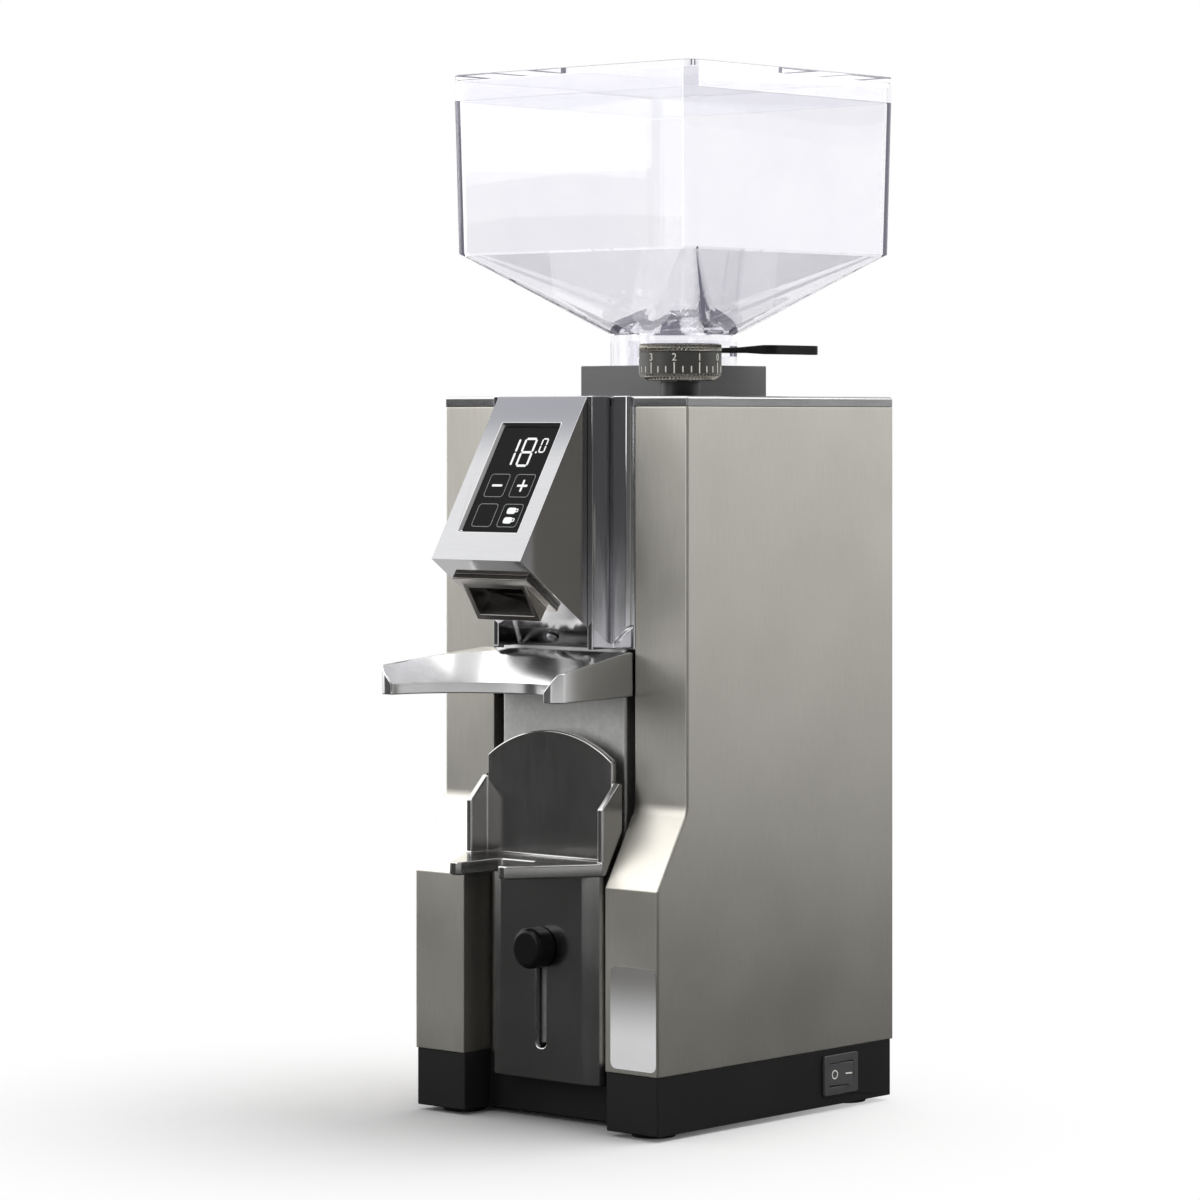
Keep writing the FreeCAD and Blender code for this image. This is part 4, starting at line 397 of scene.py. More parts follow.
# %% Metal finishes
UPRIGHT = (5200, 5200, 90)
LEVEL = (90, 90, 5200)
FINE = (2600, 2600, 2600)
SATIN = (500, 500, 500)
CAST = (900, 900, 900)
STREAKS = ((210, 210, 16), 3.0e-4)
ROLLING = ((45, 45, 30), 2.0e-4)
finishes = {
    "side_steel": metal("brushed_steel", tone(212, 209, 201), tone(190, 187, 179), UPRIGHT, 0.34, 0.46, 2e-6),
    "rear_steel": metal("rear_steel", tone(208, 205, 196), tone(184, 181, 172), LEVEL, 0.36, 0.48, 2e-6),
    "top_polish": metal("top_plate_steel", tone(190, 190, 190), tone(170, 170, 171), LEVEL, 0.16, 0.26, 1e-6),
    "trim_chrome": metal("trim_chrome", tone(222, 222, 224), tone(205, 205, 208), UPRIGHT, 0.05, 0.10, swell=STREAKS),
    "backing_polish": metal("backing_steel", tone(222, 222, 220), tone(196, 196, 195), SATIN, 0.36, 0.52, 3e-6),
    "head_metal": metal("head_polish", tone(178, 177, 178), tone(164, 163, 164), FINE, 0.06, 0.12),
    "nozzle_metal": metal("nozzle_steel", tone(176, 172, 168), tone(150, 147, 143), FINE, 0.16, 0.26),
    "hood_metal": metal("hood_casting", tone(222, 222, 222), tone(204, 204, 204), FINE, 0.14, 0.26, swell=ROLLING),
    "fork_metal": metal("fork_steel", tone(186, 185, 184), tone(168, 167, 166), UPRIGHT, 0.12, 0.24, swell=ROLLING),
    "inner_steel": metal("turned_steel", tone(196, 196, 198), tone(160, 160, 163), FINE, 0.28, 0.42, 3e-6),
    "burr_steel": metal("burr_steel", tone(150, 150, 154), tone(120, 120, 124), FINE, 0.25, 0.40, 3e-6),
    "cast_aluminium": metal("cast_aluminium", tone(188, 188, 190), tone(150, 150, 152), CAST, 0.45, 0.62, 8e-6),
    "motor_iron": metal("motor_iron", tone(120, 118, 116), tone(84, 82, 80), LEVEL, 0.45, 0.65, 5e-6),
    "nut_brass": metal("nut_brass", tone(205, 170, 98), tone(170, 136, 70), FINE, 0.26, 0.40, 3e-6),
    "capacitor_can": metal("capacitor_can", tone(205, 206, 208), tone(182, 183, 186), UPRIGHT, 0.28, 0.40, 2e-6),
}
head_satin = metal("head_satin", tone(160, 160, 161), tone(148, 148, 150), LEVEL, 0.30, 0.40, 2e-6)
print("metals", len(finishes) + 1)

# %% [markdown]
# ## Finishes: plastics, rubber and glass
# Black is never quite black: each moulded part has two close tones and a grain that breaks up its gloss.
# The hopper is clear plastic, which is all transmission. Light that is caught in its walls comes out at the edges
# as violet grey, but only after more bounces than a render follows, so a faint violet glow stands in for it.

# %% Plastic finishes
CLEAR = {"Transmission_Weight": 1.0, "IOR": 1.49, "Emission_Color": (0.82, 0.79, 1.0, 1), "Emission_Strength": 0.03}
finishes.update({
    "base_black": moulded("base_plastic", tone(32, 32, 32), tone(25, 25, 25), 0.35, 0.42, 0.55, 1.2e-5,
                          Specular_IOR_Level=0.25),
    "foot_rubber": moulded("foot_rubber", tone(26, 26, 26), tone(19, 19, 19), 0.5, 0.75, 0.9, 2e-5),
    "dial_black": moulded("dial_plastic", tone(66, 65, 62), tone(54, 53, 50), 0.25, 0.36, 0.50, 6e-6),
    "stem_black": moulded("stem_plastic", tone(28, 28, 27), tone(20, 20, 19), 0.4, 0.40, 0.55, 6e-6),
    "knob_black": moulded("knob_plastic", tone(16, 16, 16), tone(11, 11, 11), 0.3, 0.28, 0.40, 4e-6,
                          Specular_IOR_Level=0.2),
    "gate_black": moulded("gate_plastic", tone(25, 25, 25), tone(18, 18, 18), 0.35, 0.36, 0.48, 5e-6,
                          Specular_IOR_Level=0.1),
    "collar_grey": moulded("collar_plastic", tone(118, 118, 119), tone(106, 106, 107), 0.4, 0.42, 0.56, 8e-6),
    "switch_black": moulded("switch_plastic", tone(74, 74, 74), tone(64, 64, 64), 0.3, 0.30, 0.42, 4e-6),
    "rocker_black": moulded("rocker_plastic", tone(80, 80, 81), tone(70, 70, 71), 0.3, 0.26, 0.38, 4e-6),
    "gland_black": moulded("gland_rubber", tone(34, 34, 34), tone(25, 25, 25), 0.4, 0.55, 0.7, 8e-6),
    "inner_plastic": moulded("inner_plastic", tone(60, 60, 62), tone(46, 46, 48), 0.5, 0.45, 0.6, 8e-6),
    "flap_rubber": moulded("flap_rubber", tone(46, 42, 40), tone(36, 33, 31), 0.4, 0.6, 0.75, 8e-6),
    "board_green": moulded("board_green", tone(34, 92, 58), tone(24, 70, 44), 0.6, 0.35, 0.5, 3e-6),
    "screen_glass": moulded("screen_glass", tone(16, 16, 18), tone(11, 11, 13), 8.0, 0.04, 0.09,
                            Specular_IOR_Level=0.05),
    "hopper_clear": moulded("hopper_clear", tone(243, 243, 244), tone(239, 239, 241), 20.0, 0.004, 0.014, **CLEAR),
    "lid_clear": moulded("lid_clear", tone(243, 243, 244), tone(239, 239, 241), 20.0, 0.006, 0.018, **CLEAR),
})
knurl_worn = moulded("knurl_worn", tone(176, 172, 162), tone(110, 108, 101), 0.5, 0.22, 0.36, Metallic=0.8)
mark_white = moulded("mark_print", tone(236, 234, 226), tone(216, 214, 206), 0.3, 0.5, 0.65)
mark_lit = moulded("mark_lit", tone(30, 30, 30), tone(24, 24, 24), 0.5, 0.3, 0.45)
mark_dim = moulded("mark_outline", tone(128, 130, 132), tone(104, 106, 108), 0.5, 0.35, 0.5)
print("finishes in all", len(bpy.data.materials))

# %% [markdown]
# ## Fades
# Two finishes change along their height. The head's satin face turns darker and a little bluer towards its top, and
# the plate on the leg is sprayed from grey down to nearly white. Each could be cut into strips with materials of
# their own, but a fade has no steps: a second tone is mixed over the pattern's colour by the height in the piece.


# %% Fades
def fade_up(material, low, high, top, share):
    """Mix a tone over a finish between two heights in millimetres, up to a share of it."""
    tree = material.node_tree
    own = next(node for node in tree.nodes if node.type == "GROUP").outputs["Color"]
    level = put(tree, "ShaderNodeSeparateXYZ", {0: on_object(tree)}).outputs["Z"]
    fade = ramp(tree, level, low * MM, high * MM, high=share)
    tree.links.new(between(tree, fade, own, top), tree.nodes["Principled BSDF"].inputs["Base Color"])
    print(material.name, "fades from", low, "to", high, "mm")


bare_plate = moulded("bare_plate_paint", tone(250, 250, 251), tone(238, 238, 240), 0.5, 0.30, 0.42, Metallic=0.15)
fade_up(bare_plate, 34, 60, tone(98, 96, 92), 0.85)
# The head's satin face turns darker and a little bluer towards its top.
fade_up(head_satin, 240, 262, tone(108, 109, 114), 0.9)

# %% [markdown]
# ## Lit marks
# The numbers and signs on the display give their own light. A display's light is never quite even, so a noise
# between two close whites feeds the emission, over the dark finish that the marks already have.

# %% Lit marks
LIT_COOL, LIT_WARM, LIT_STRENGTH = (0.80, 0.82, 0.82, 1), (1, 1, 0.98, 1), 0.95
LIT_SCALE, LIT_DETAIL = 900.0, 1.0
lit = mark_lit.node_tree
shader = lit.nodes["Principled BSDF"]
uneven = noise(lit, on_object(lit), LIT_SCALE, LIT_DETAIL)
lit.links.new(between(lit, uneven, LIT_COOL, LIT_WARM), shader.inputs["Emission Color"])
shader.inputs["Emission Strength"].default_value = LIT_STRENGTH
print("emission on", mark_lit.name)

# %% [markdown]
# ## The solids inside
# The burrs, the motor, the boards and the frame that holds them are right as they are. They keep their CAD
# meshes and only get a finish, by the slot that the record gives each of them.

# %% Finish for every solid
for name, solid in frame["nodes"].items():
    solid.data.materials.clear()
    solid.data.materials.append(finishes[node_slot[name]])
print("solids with a finish", len(frame["nodes"]))

# %% [markdown]
# ## Working on one piece
# An operator acts on everything that is selected, and loading leaves all the solids selected. So each step
# first picks one piece, and in edit mode picks faces, edges or points by where they are.


# %% Selection helpers
def only(piece):
    """Leave this one piece selected and active."""
    bpy.ops.object.select_all(action="DESELECT")
    piece.select_set(True)
    bpy.context.view_layer.objects.active = piece


def edit(piece):
    """Open the piece in edit mode with everything selected."""
    only(piece)
    bpy.ops.object.mode_set(mode="EDIT")
    bpy.ops.mesh.select_mode(type="VERT")
    bpy.ops.mesh.select_all(action="SELECT")


def leave():
    bpy.ops.object.mode_set(mode="OBJECT")


def middle(item):
    """The middle of a vertex, an edge or a face, in millimetres."""
    points = [v.co for v in item.verts] if hasattr(item, "verts") else [item.co]
    return sum(points, Vector()) / len(points) / MM


def pick(piece, kind, test):
    """In edit mode, select the items of one kind that pass a test, and say how many there are."""
    bpy.ops.mesh.select_mode(type=kind)
    bpy.ops.mesh.select_all(action="DESELECT")
    net = bmesh.from_edit_mesh(piece.data)
    chosen = [i for i in {"VERT": net.verts, "EDGE": net.edges, "FACE": net.faces}[kind] if test(i)]
    for item in chosen:
        item.select_set(True)
    net.select_flush_mode()
    bmesh.update_edit_mesh(piece.data)
    return len(chosen)


def modify(piece, kind, **fields):
    """Add a modifier, set it and apply it."""
    only(piece)
    bpy.ops.object.modifier_add(type=kind)
    modifier = piece.modifiers[-1]
    for field, value in fields.items():
        setattr(modifier, field, value)
    bpy.ops.object.modifier_apply(modifier=modifier.name)


def fix_place(piece):
    """Move a piece's place, turn and size into its mesh."""
    only(piece)
    bpy.ops.object.transform_apply(location=True, rotation=True, scale=True)
    return piece


# %% [markdown]
# ## Copying a solid
# A CAD mesh is loose triangles. Its copy is merged first, and flat triangles are dissolved into whole faces,
# or only paired into quads where a face winds round a hole.
# Then a Bevel modifier rounds every sharp edge by a fraction of a millimetre, because no real edge is
# perfectly sharp and that small round catches the light. Weighted normals keep the large faces flat.

# %% Copy and soften
MERGE, FLAT_ANGLE, PAIR_ANGLE = 1e-5, math.radians(0.5), math.radians(1)


def copy_solid(node, name, whole=True):
    """A merged copy of a CAD node, on its own and with no material."""
    only(frame["nodes"][node])
    bpy.ops.object.duplicate()
    piece = bpy.context.active_object
    piece.parent = None
    piece.name = name
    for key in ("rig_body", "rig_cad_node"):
        del piece[key]
    piece.data.materials.clear()
    bpy.ops.mesh.customdata_custom_splitnormals_clear()
    edit(piece)
    bpy.ops.mesh.remove_doubles(threshold=MERGE)
    if whole:
        bpy.ops.mesh.dissolve_limited(angle_limit=FLAT_ANGLE)
    else:
        bpy.ops.mesh.tris_convert_to_quads(face_threshold=PAIR_ANGLE, shape_threshold=math.pi)
    leave()
    return piece


def shade(piece, angle=40):
    """Smooth shading that keeps edges sharper than the angle, with flat faces left flat."""
    only(piece)
    bpy.ops.object.shade_smooth_by_angle(angle=math.radians(angle))
    modify(piece, "WEIGHTED_NORMAL", keep_sharp=True)


def soften(piece, width, segments=3, angle=30):
    """Round the edges that are sharper than an angle by a width in millimetres."""
    modify(piece, "BEVEL", limit_method="ANGLE", angle_limit=math.radians(angle), width=width * MM,
           segments=segments, use_clamp_overlap=False, miter_outer="MITER_ARC")
    shade(piece)


def settle(piece, body, slot, *nodes):
    """Let a finished piece ride on a body and stand for CAD nodes, which it hides; the slot is not used."""
    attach(piece, body)
    if nodes:
        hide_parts(*nodes)


def paint(piece, *materials):
    piece.data.materials.clear()
    for material in materials:
        piece.data.materials.append(material)


def dress(node, name, width, whole=True, angle=30):
    """The whole way for a solid that only needs soft edges."""
    piece = copy_solid(node, name, whole)
    if width:
        soften(piece, width, angle=angle)
    else:
        shade(piece)
    paint(piece, finishes[node_slot[node]])
    settle(piece, node_body[node], node_slot[node], node)
    print(name, len(piece.data.polygons), "faces")


# %% [markdown]
# ## Body and base
# The body is two folded steel panels on a black moulded base, closed by a polished plate on top and a vented
# panel at the back. Modelling them again would gain nothing, so these keep their solids' shapes and only get soft
# edges, each with its own width in millimetres.

# %% Body and base
for node, name, width in (
        ("base_tray", "base", 0.5), ("rubber_feet", "feet", 0.4),
        ("left_side_panel", "left_panel", 0.35), ("right_side_panel", "right_panel", 0.35),
        ("rear_panel", "back_panel", 0.3), ("top_cover", "top_plate", 0.45),
        ("front_trim", "front_trim_polished", 0.3), ("fork_backing", "backing_plate", 0.3)):
    dress(node, name, width)

# %% [markdown]
# ## Hood, hopper and small parts
# The hood is a polished casting whose long edges are round in the solid already, so only its sharpest edges are
# softened. The clear hopper is left as it is, because a bevel would break up its thin walls. The collar, the knob
# and the switch are moulded and get the same soft edges as the body.

# %% Hood, hopper and small parts
for node, name, width, angle in (("hood", "hood_polished", 0.45, 45), ("chute_nozzle", "nozzle", 0.3, 30),
                                 ("hopper", "hopper_body", 0, 30)):
    dress(node, name, width, whole=False, angle=angle)
for node, name, width in (
        ("clamp_knob", "fork_knob", 0.3), ("dial_bush", "dial_stem", 0.3), ("hopper_collar", "collar", 0.4),
        ("hopper_lid", "lid", 0.25), ("switch_housing", "switch_bezel", 0.3), ("switch_rocker", "rocker", 0.3),
        ("rear_screws", "back_screws", 0.15), ("cable_gland", "gland", 0.4), ("display_glass", "screen", 0.15)):
    dress(node, name, width)

# %% [markdown]
# ## Gate lever
# The slide gate's lever stays thin and only swells at its end. So the points where the solid's tab begins are
# squeezed together before the edges are softened.

# %% Gate lever
TAB_START, TAB_SLACK, WAIST_SHARE, GATE_EDGE = 45, 0.1, 0.6, 0.3
gate = copy_solid("hopper_gate", "gate_lever")
edit(gate)
waist = pick(gate, "VERT", lambda v: abs(v.co.x / MM - TAB_START) < TAB_SLACK)
bpy.ops.transform.resize(value=(1, 1, WAIST_SHARE))
leave()
soften(gate, GATE_EDGE)
paint(gate, finishes["gate_black"])
settle(gate, node_body["hopper_gate"], "gate_black", "hopper_gate")
print("gate waist points", waist)

# %% [markdown]
# ## Fork: the apron's crown
# The fork's apron is pressed sheet: its face is flat in the middle and falls away softly towards both sides,
# which gives it a bright band along each. A bend would need a window, so the copy's flat face is cut by a few
# upright planes, and each column of points is then moved back a little, on the curve of half a cosine wave.

# %% Fork crown
APRON_FRONT, APRON_ROUND, APRON_HALF, APRON_TOP = -47.7, 4.0, 27.7, 93.5
CROWN_FROM, CROWN_FALL, CROWN_STEP, CROWN_CUTS = 18.5, 1.2, 1.0, 5
FLAT_SLACK, ROUND_SLACK, ROUND_FROM, COLUMN_SLACK = 0.03, 0.05, 23.6, 0.006
FRONTWARD = -0.99


def on_apron(point):
    """Whether a point lies on the apron's front skin: its flat face or its rounded sides."""
    x, y, z = abs(point.x), point.y, point.z
    side = math.hypot(x - (APRON_HALF - APRON_ROUND), y - (APRON_FRONT + APRON_ROUND))
    on_flat = abs(y - APRON_FRONT) < FLAT_SLACK
    on_round = x > ROUND_FROM and abs(side - APRON_ROUND) < ROUND_SLACK
    return z < APRON_TOP and (on_flat or on_round)


fork = copy_solid("fork", "fork_polished")
edit(fork)
for step in range(1, CROWN_CUTS + 1):
    for side in (-1, 1):
        pick(fork, "FACE", lambda face: face.normal.y < FRONTWARD and abs(middle(face).y - APRON_FRONT) < FLAT_SLACK)
        bpy.ops.mesh.bisect(plane_co=(side * (CROWN_FROM + step * CROWN_STEP) * MM, 0, 0), plane_no=(1, 0, 0))
columns = {round(abs(v.co.x) / MM, 2) for v in bmesh.from_edit_mesh(fork.data).verts if on_apron(v.co / MM)}
for column in sorted(x for x in columns if x > CROWN_FROM):
    fall = CROWN_FALL * (1 - math.cos(math.pi * (column - CROWN_FROM) / (APRON_HALF - CROWN_FROM))) / 2
    pick(fork, "VERT", lambda v: on_apron(v.co / MM) and abs(abs(v.co.x) / MM - column) < COLUMN_SLACK)
    bpy.ops.transform.translate(value=(0, fall * MM, 0))
print("fork columns", len(columns))

# %% [markdown]
# ## Fork: the edges
# The crown's last column ends so near the apron's rear edge that a bevel there would fold over, so that crease is
# dissolved. A tenth of a millimetre is planed off both cheeks, so that they run flush into the shelf. A wide bevel
# then rounds the thick edges.

# %% Fork edges
CHEEK_OUTSIDE, PLANE_SLACK, FORK_EDGE = 33.9, 1e-6, 0.65
CREASE_Y, CREASE_SLACK, SIDE_SLACK = -42.5, 0.05, 0.02


def on_crease(edge):
    return all(abs(v.co.x) / MM > APRON_HALF - SIDE_SLACK and abs(v.co.y / MM - CREASE_Y) < CREASE_SLACK
               for v in edge.verts)


pick(fork, "EDGE", on_crease)
bpy.ops.mesh.dissolve_edges()
for side in (-1, 1):
    bpy.ops.mesh.select_mode(type="VERT")
    bpy.ops.mesh.select_all(action="SELECT")
    bpy.ops.mesh.bisect(plane_co=(side * CHEEK_OUTSIDE * MM, 0, 0), plane_no=(side, 0, 0), clear_outer=True,
                        use_fill=True, threshold=PLANE_SLACK)
leave()
soften(fork, FORK_EDGE)
paint(fork, finishes["fork_metal"])
settle(fork, node_body["fork"], "fork_metal", "fork")
print("fork faces", len(fork.data.polygons))

# %% [markdown]
# ## Display head
# The head is a wedge whose slanted face is satin and whose sides are mirror bright. The screen sits in a
# pocket with a wide chamfer round it. The chamfer is cut first, by bevelling the pocket's rim alone, and the
# satin face is then picked by its normal and gets a second material.

# %% Display head
FACE_NORMAL = Vector((0, -0.8548, 0.5190))
FACE_DOWN = Vector((0, -0.5190, -0.8548))
FACE_TOP = Vector((0, -46.7, 267.3))
SCREEN_HALF, SCREEN_TOP, SCREEN_LENGTH, RIM_SLACK = 13.5, 12.6, 44.0, 0.5
FACE_SLACK, SAME_WAY = 0.05, 0.999
CHAMFER, HEAD_EDGE = 1.1, 0.25


def on_face(item):
    return abs((middle(item) - FACE_TOP).dot(FACE_NORMAL)) < FACE_SLACK


def pocket_rim(edge):
    down = (middle(edge) - FACE_TOP).dot(FACE_DOWN) - SCREEN_TOP
    inside = abs(middle(edge).x) < SCREEN_HALF + RIM_SLACK and -RIM_SLACK < down < SCREEN_LENGTH + RIM_SLACK
    return inside and all(on_face(v) for v in edge.verts)


head = copy_solid("head_housing", "head")
edit(head)
rim_edges = pick(head, "EDGE", pocket_rim)
bpy.ops.mesh.bevel(offset=CHAMFER * MM, segments=1, affect="EDGES")
leave()
soften(head, HEAD_EDGE)
paint(head, finishes["head_metal"], head_satin)
edit(head)
satin_faces = pick(head, "FACE", lambda face: on_face(face) and face.normal.dot(FACE_NORMAL) > SAME_WAY)
head.active_material_index = 1
bpy.ops.object.material_slot_assign()
leave()
settle(head, "frame", "head_metal", "head_housing")
print("head: rim edges", rim_edges, "satin faces", satin_faces)

# %% [markdown]
# ## Dial: the knurled body
# The dial is turned from one piece: a coned, knurled skirt, a smooth band for the numbers and a finely
# knurled rim. Bump could draw the knurl, but it shows in the outline, so it is modelled. A circle is extruded ring
# by ring. On the knurled rings each step also turns by half a tooth, so the faces lean, and poking their middles
# outwards makes the little pyramids, which get a worn finish of their own.

# %% Dial body
DIAL = Vector((36.6, -11.8, 0))
TEETH, TOOTH_HEIGHT = 60, 0.5
HALF_TOOTH = math.pi / TEETH
FOOT, FOOT_LIP = (273, 12.1), (273.2, 12.5)
SKIRT_RINGS = ((274.25, 14.3), (275.3, 15.3))
BAND_RINGS = ((275.45, 15.2), (283.3, 15.2), (283.45, 14.9), (283.7, 14.9), (283.85, 15.2))
RIM_RINGS = ((284.98, 15.2), (286.1, 15.2))
TOP_RINGS = ((286.3, 14.9), (286.55, 14.3), (286.55, 12.6), (286.25, 12.2))
TOOTH_BANDS = ((273.3, 275.2), (283.9, 286.0))


def ring(z, radius, last, turn=0.0):
    """Extrude the open rim to a height and a radius, in millimetres."""
    centre = (DIAL + Vector((0, 0, z))) * MM
    bpy.ops.mesh.extrude_region_move(TRANSFORM_OT_translate={"value": (0, 0, (z - last[0]) * MM)})
    bpy.ops.transform.resize(value=(radius / last[1], radius / last[1], 1), center_override=centre)
    if turn:
        bpy.ops.transform.rotate(value=turn, orient_axis="Z", center_override=centre)
    return z, radius


dial = start(bpy.ops.mesh.primitive_circle_add, "dial", vertices=TEETH, radius=FOOT[1] * MM,
             location=(DIAL + Vector((0, 0, FOOT[0]))) * MM)
edit(fix_place(dial))
at = ring(*FOOT_LIP, FOOT)
for rings, lean in ((SKIRT_RINGS, HALF_TOOTH), (BAND_RINGS, 0.0), (RIM_RINGS, HALF_TOOTH), (TOP_RINGS, 0.0)):
    for step, (z, radius) in enumerate(rings):
        at = ring(z, radius, at, lean if step % 2 else -lean)
print("dial rings up to", at)

# %% [markdown]
# ## Dial: ends, teeth and finish
# The tube of rings is open at both ends. Each open loop is filled with one flat face. The leaning faces of the two
# knurled bands are then poked and painted.

# %% Dial teeth
bpy.ops.mesh.edge_face_add()
pick(dial, "EDGE", lambda edge: all(abs(v.co.z / MM - FOOT[0]) < 0.01 for v in edge.verts))
bpy.ops.mesh.edge_face_add()
teeth = pick(dial, "FACE", lambda face: any(low < middle(face).z < high for low, high in TOOTH_BANDS))
bpy.ops.mesh.poke(offset=TOOTH_HEIGHT * MM)
paint(dial, finishes["dial_black"], knurl_worn)
dial.active_material_index = 1
bpy.ops.object.material_slot_assign()
bpy.ops.mesh.select_all(action="SELECT")
bpy.ops.mesh.normals_make_consistent(inside=False)
leave()
shade(dial, 25)
settle(dial, "dial", "dial_black", "grind_dial")
print("dial teeth", teeth)

# %% [markdown]
# ## Dial: numbers and marks
# Ten numbers go once round the band, with two short marks between each pair of long ones. A number is a text
# object turned to face outwards and made a mesh, and a mark is a small bevelled bar. They are joined into one
# piece that rides on the dial.

# %% Dial marks
BAND, FIRST, MARK_TURN = 15.2, math.radians(14.1), math.radians(12)
MARKS, PER_NUMBER = 30, 3
LONG_MARK, SHORT_MARK, MARK_WIDTH, MARK_DEPTH = (275.6, 279.6), (275.9, 278.2), 0.46, 0.12
NUMBER_FOOT, NUMBER_SIZE, NUMBER_DEPTH, NUMBER_SINK = 280.2, 3.9, 0.08, 0.02
BAR_EDGE = 0.3


def outward(angle, radius, z):
    """A place on the dial's band, in metres, and the turn that faces outwards there."""
    spot = DIAL + Vector((math.cos(angle) * radius, math.sin(angle) * radius, z))
    return spot * MM, angle + math.pi / 2


def join(name, parts):
    """Join pieces into one, with its place in its mesh."""
    only(parts[0])
    for part in parts:
        part.select_set(True)
    bpy.ops.object.join()
    joined = bpy.context.active_object
    joined.name = name
    return fix_place(joined)


def bar(place, turn, size):
    """A small bar with soft edges; place in metres, size in millimetres."""
    piece = start(bpy.ops.mesh.primitive_cube_add, "bar", size=1, location=place, rotation=turn,
                  scale=Vector(size) * MM)
    modify(fix_place(piece), "BEVEL", width=min(size) * BAR_EDGE * MM, segments=2)
    return piece


def number(text, place, turn):
    """A number standing on the dial's band, as a mesh."""
    made = start(bpy.ops.object.text_add, "number", location=place, rotation=(math.pi / 2, 0, turn))
    made.data.body = text
    made.data.size = NUMBER_SIZE * MM
    made.data.align_x = "CENTER"
    made.data.extrude = NUMBER_DEPTH * MM
    made.data.resolution_u = 3
    bpy.ops.object.convert(target="MESH")
    return fix_place(bpy.context.active_object)


marks = []
for step in range(MARKS):
    angle = FIRST - MARK_TURN * step
    low, high = SHORT_MARK if step % PER_NUMBER else LONG_MARK
    place, turn = outward(angle, BAND, (low + high) / 2)
    marks.append(bar(place, (0, 0, turn), (MARK_WIDTH, MARK_DEPTH, high - low)))
    if step % PER_NUMBER == 0:
        marks.append(number(str(step // PER_NUMBER), *outward(angle, BAND - NUMBER_SINK, NUMBER_FOOT)))
dial_marks = join("dial_marks", marks)
paint(dial_marks, mark_white)
settle(dial_marks, "dial", "dial_black")
print("dial marks", len(marks))

# %% [markdown]
# ## Display: flat marks
# Everything on the screen is drawn flat on a sheet that is then tilted onto the glass. A stroke is a plane
# with its corners cut, and a key is a plane with round corners whose middle is taken out by an inset.
# Each is given a few hundredths of a millimetre of thickness, so it is a closed body.

# %% Flat marks
GLASS_DEPTH, MARK_LIFT, MARK_SHEET = 1.2, 0.01, 0.05
GLASS_PLACE = (FACE_TOP - FACE_NORMAL * (GLASS_DEPTH - MARK_LIFT)) * MM
GLASS_TILT = math.atan2(-FACE_NORMAL.y, FACE_NORMAL.z)


def flat(x, down, width, height, corner, steps=1, line=0.0):
    """A flat mark on the screen's sheet, in millimetres from the middle and from the face's top edge."""
    piece = start(bpy.ops.mesh.primitive_plane_add, "mark", size=1, location=(x * MM, -down * MM, 0))
    piece.scale = (width * MM, height * MM, 1)
    edit(fix_place(piece))
    bpy.ops.mesh.bevel(offset=corner * MM, segments=steps, affect="VERTICES")
    if line:
        bpy.ops.mesh.select_all(action="SELECT")
        bpy.ops.mesh.inset(thickness=line * MM)
        bpy.ops.mesh.delete(type="FACE")
    leave()
    return piece


def tilt(name, parts, material):
    """Join flat marks, give them thickness and lay them on the glass."""
    piece = join(name, parts)
    modify(piece, "SOLIDIFY", thickness=MARK_SHEET * MM, offset=1.0)
    piece.rotation_euler = (GLASS_TILT, 0, 0)
    piece.location = GLASS_PLACE
    paint(fix_place(piece), material)
    settle(piece, "frame", "screen_glass")
    return piece


print("glass tilt", round(math.degrees(GLASS_TILT), 1), "degrees")

# %% [markdown]
# ## Display: number and signs
# The weight stands in seven-stroke figures, with its decimal smaller and higher. Four outlined touch keys sit
# below: minus, plus, one left blank and one with two cups. A text object would need a font with such figures, so
# each stroke is a flat mark of its own.

# %% Display number and signs
NUMBER_TOP = 17.6
FIGURES = (("bc", -4.6, 2.6, 11.4, 0.95), ("abcdefg", 2.2, 5.2, 11.4, 0.95), ("abcdef", 9.2, 2.5, 5.6, 0.6))
POINT_PLACE, POINT_SHAPE = (6.75, 23.3), {"width": 0.8, "height": 0.8, "corner": 0.2}
KEY_LEFT, KEY_RIGHT, KEY_ROW, KEY_LOW = -5.67, 6.75, 37.45, 50.0
SIGN_LENGTH, SIGN_STROKE, SIGN_CORNER = 5.0, 0.9, 0.2
KEY_SHAPE = {"width": 9.7, "height": 9.8, "corner": 1.4, "steps": 5, "line": 0.28}
CUP_SHAPE = {"width": 4.2, "height": 2.6, "corner": 0.9, "steps": 3}
EAR_SHAPE = {"width": 1.7, "height": 1.5, "corner": 0.5, "steps": 3, "line": 0.4}
CUP_ROWS, CUP_SHIFT, EAR_SHIFT, EAR_RISE = (48.0, 52.0), -0.3, 2.1, 0.2


def figure(strokes, x, width, height, thick):
    """A seven-stroke figure at a place across the screen: its strokes are named a to g, as on any such display."""
    half = height / 2
    places = {"a": (0, 0, 1), "g": (0, half, 1), "d": (0, height, 1), "f": (-width / 2, half / 2, 0),
              "b": (width / 2, half / 2, 0), "e": (-width / 2, half * 1.5, 0), "c": (width / 2, half * 1.5, 0)}
    made = []
    for stroke in strokes:
        across, below, level = places[stroke]
        size = (width - thick * 0.5, thick) if level else (thick, half - thick * 0.5)
        made.append(flat(x + across, NUMBER_TOP + below, *size, thick * 0.35))
    return made


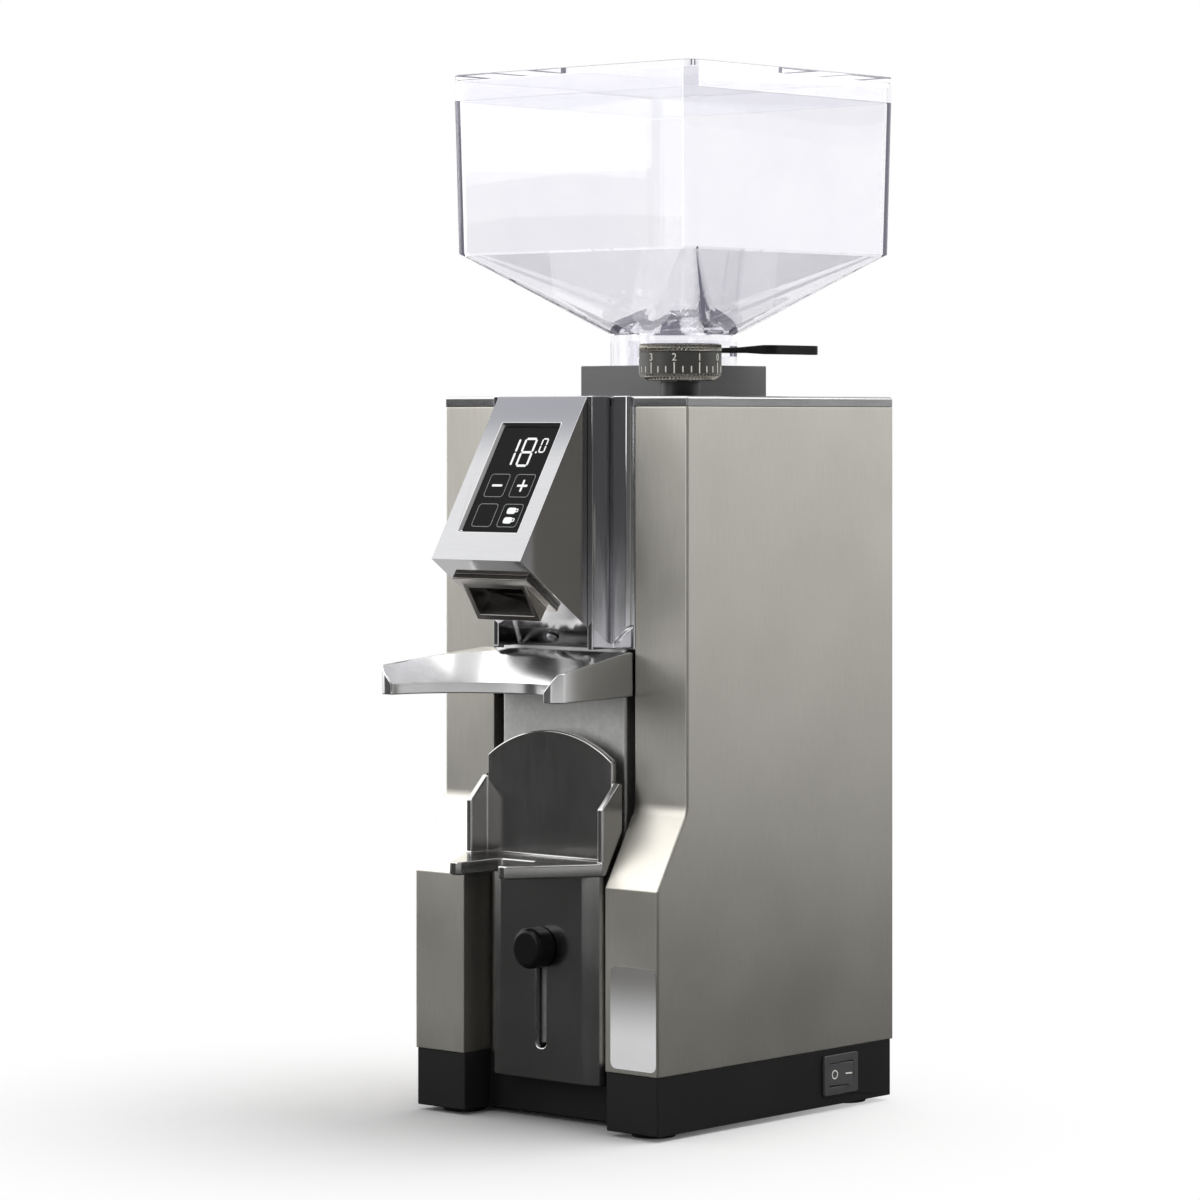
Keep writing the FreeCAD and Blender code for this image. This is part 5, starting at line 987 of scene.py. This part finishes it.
lit_parts = [part for row in FIGURES for part in figure(*row)] + [flat(*POINT_PLACE, **POINT_SHAPE)]
lit_parts += [flat(x, KEY_ROW, SIGN_LENGTH, SIGN_STROKE, SIGN_CORNER) for x in (KEY_LEFT, KEY_RIGHT)]
lit_parts.append(flat(KEY_RIGHT, KEY_ROW, SIGN_STROKE, SIGN_LENGTH, SIGN_CORNER))
for down in CUP_ROWS:
    lit_parts.append(flat(KEY_RIGHT + CUP_SHIFT, down, **CUP_SHAPE))
    lit_parts.append(flat(KEY_RIGHT + EAR_SHIFT, down - EAR_RISE, **EAR_SHAPE))
lit_marks = tilt("display_lit_marks", lit_parts, mark_lit)
outlines = [flat(x, down, **KEY_SHAPE) for x in (KEY_LEFT, KEY_RIGHT) for down in (KEY_ROW, KEY_LOW)]
key_marks = tilt("display_key_outlines", outlines, mark_dim)
print("faces of the lit marks", len(lit_marks.data.polygons), "and of the keys", len(key_marks.data.polygons))

# %% [markdown]
# ## Marks on the switch
# The rocker carries a ring for off and a bar for on. Its two halves slope, so a ray is sent at each half
# to find where the surface is and which way it faces, and the mark is turned to match.

# %% Switch marks
ROCKER_Y, ROCKER_Z, SIGN_OFFSET, RAY_FROM = 53.3, 13.5, 3.4, 80
RING_RADIUS, RING_WIRE, RING_SQUASH, ON_BAR = 1.5, 0.22, 0.5, (0.2, 3.0, 0.5)


def land(y):
    """Where a ray from the right meets the rocker, in metres, with the surface's normal."""
    bpy.context.view_layer.update()
    hit, spot, normal, _ = bpy.data.objects["rocker"].ray_cast(Vector((RAY_FROM, y, ROCKER_Z)) * MM, Vector((-1, 0, 0)))
    print("ray meets the rocker", hit)
    return spot, normal


spot, normal = land(ROCKER_Y - SIGN_OFFSET)
off_ring = start(bpy.ops.mesh.primitive_torus_add, "off_ring", major_segments=40, minor_segments=8,
                 major_radius=RING_RADIUS * MM, minor_radius=RING_WIRE * MM,
                 location=spot, rotation=normal.to_track_quat("Z", "Y").to_euler())
edit(off_ring)
bpy.ops.transform.resize(value=(1, 1, RING_SQUASH), orient_type="LOCAL")
leave()
spot, normal = land(ROCKER_Y + SIGN_OFFSET)
on_bar = bar(spot, (0, 0, math.atan2(normal.y, normal.x)), ON_BAR)
switch_marks = join("switch_marks", [off_ring, on_bar])
paint(switch_marks, mark_white)
settle(switch_marks, "rocker", "rocker_black")

# %% [markdown]
# ## Plate on the right leg
# A thin metal plate with round corners is stuck to the front of the right leg. It is left bare.
# It starts as a plane, gets its corners by a vertex bevel and its thickness by Solidify, which is simpler than
# rounding the corners of a block.

# %% Leg plate
PLATE_PLACE, PLATE_WIDTH, PLATE_HEIGHT = Vector((48.5, -51.72, 43.5)), 21.6, 37
PLATE_CORNER, PLATE_SHEET, PLATE_EDGE = 2.6, 0.22, 0.07
leg_plate = start(bpy.ops.mesh.primitive_plane_add, "leg_plate", size=1, location=PLATE_PLACE * MM,
                  rotation=(math.pi / 2, 0, 0))
leg_plate.scale = (PLATE_WIDTH * MM, PLATE_HEIGHT * MM, 1)
edit(fix_place(leg_plate))
bpy.ops.mesh.bevel(offset=PLATE_CORNER * MM, segments=8, affect="VERTICES")
leave()
modify(leg_plate, "SOLIDIFY", thickness=PLATE_SHEET * MM, offset=1.0)
soften(leg_plate, PLATE_EDGE, 2)
paint(leg_plate, bare_plate)
settle(leg_plate, "frame", "side_steel")
print("leg plate faces", len(leg_plate.data.polygons))

# %% [markdown]
# ## Screw under the head
# One dome-headed screw holds the spout from below. A sphere is cut in half by a bisect, flattened and turned
# to stand on the sloping underside, and a slot is cut with a boolean.

# %% Head screw
UNDERSIDE = Vector((0, -0.571, -0.821))
SCREW_PLACE = Vector((0, -41.0, 179.1))
SCREW_RADIUS, SCREW_DOME = 2.3, 0.6
SLOT_HEIGHT, SLOT_TURN, SLOT_SIZE = 1.4, 0.6, (6, 0.6, 1.2)
head_screw = start(bpy.ops.mesh.primitive_uv_sphere_add, "head_screw", segments=32, ring_count=16,
                   radius=SCREW_RADIUS * MM)
edit(head_screw)
bpy.ops.mesh.bisect(plane_co=(0, 0, 0), plane_no=(0, 0, 1), clear_inner=True, use_fill=True)
bpy.ops.mesh.select_all(action="SELECT")
bpy.ops.transform.resize(value=(1, 1, SCREW_DOME))
leave()
slot_cutter = bar((0, 0, SLOT_HEIGHT * MM), (0, 0, SLOT_TURN), SLOT_SIZE)
modify(head_screw, "BOOLEAN", operation="DIFFERENCE", object=slot_cutter, solver="EXACT")
bpy.data.objects.remove(slot_cutter)
head_screw.rotation_euler = UNDERSIDE.to_track_quat("Z", "Y").to_euler()
head_screw.location = SCREW_PLACE * MM
shade(fix_place(head_screw), 30)
paint(head_screw, finishes["inner_steel"])
settle(head_screw, "frame", "inner_steel")
print("head screw faces", len(head_screw.data.polygons))
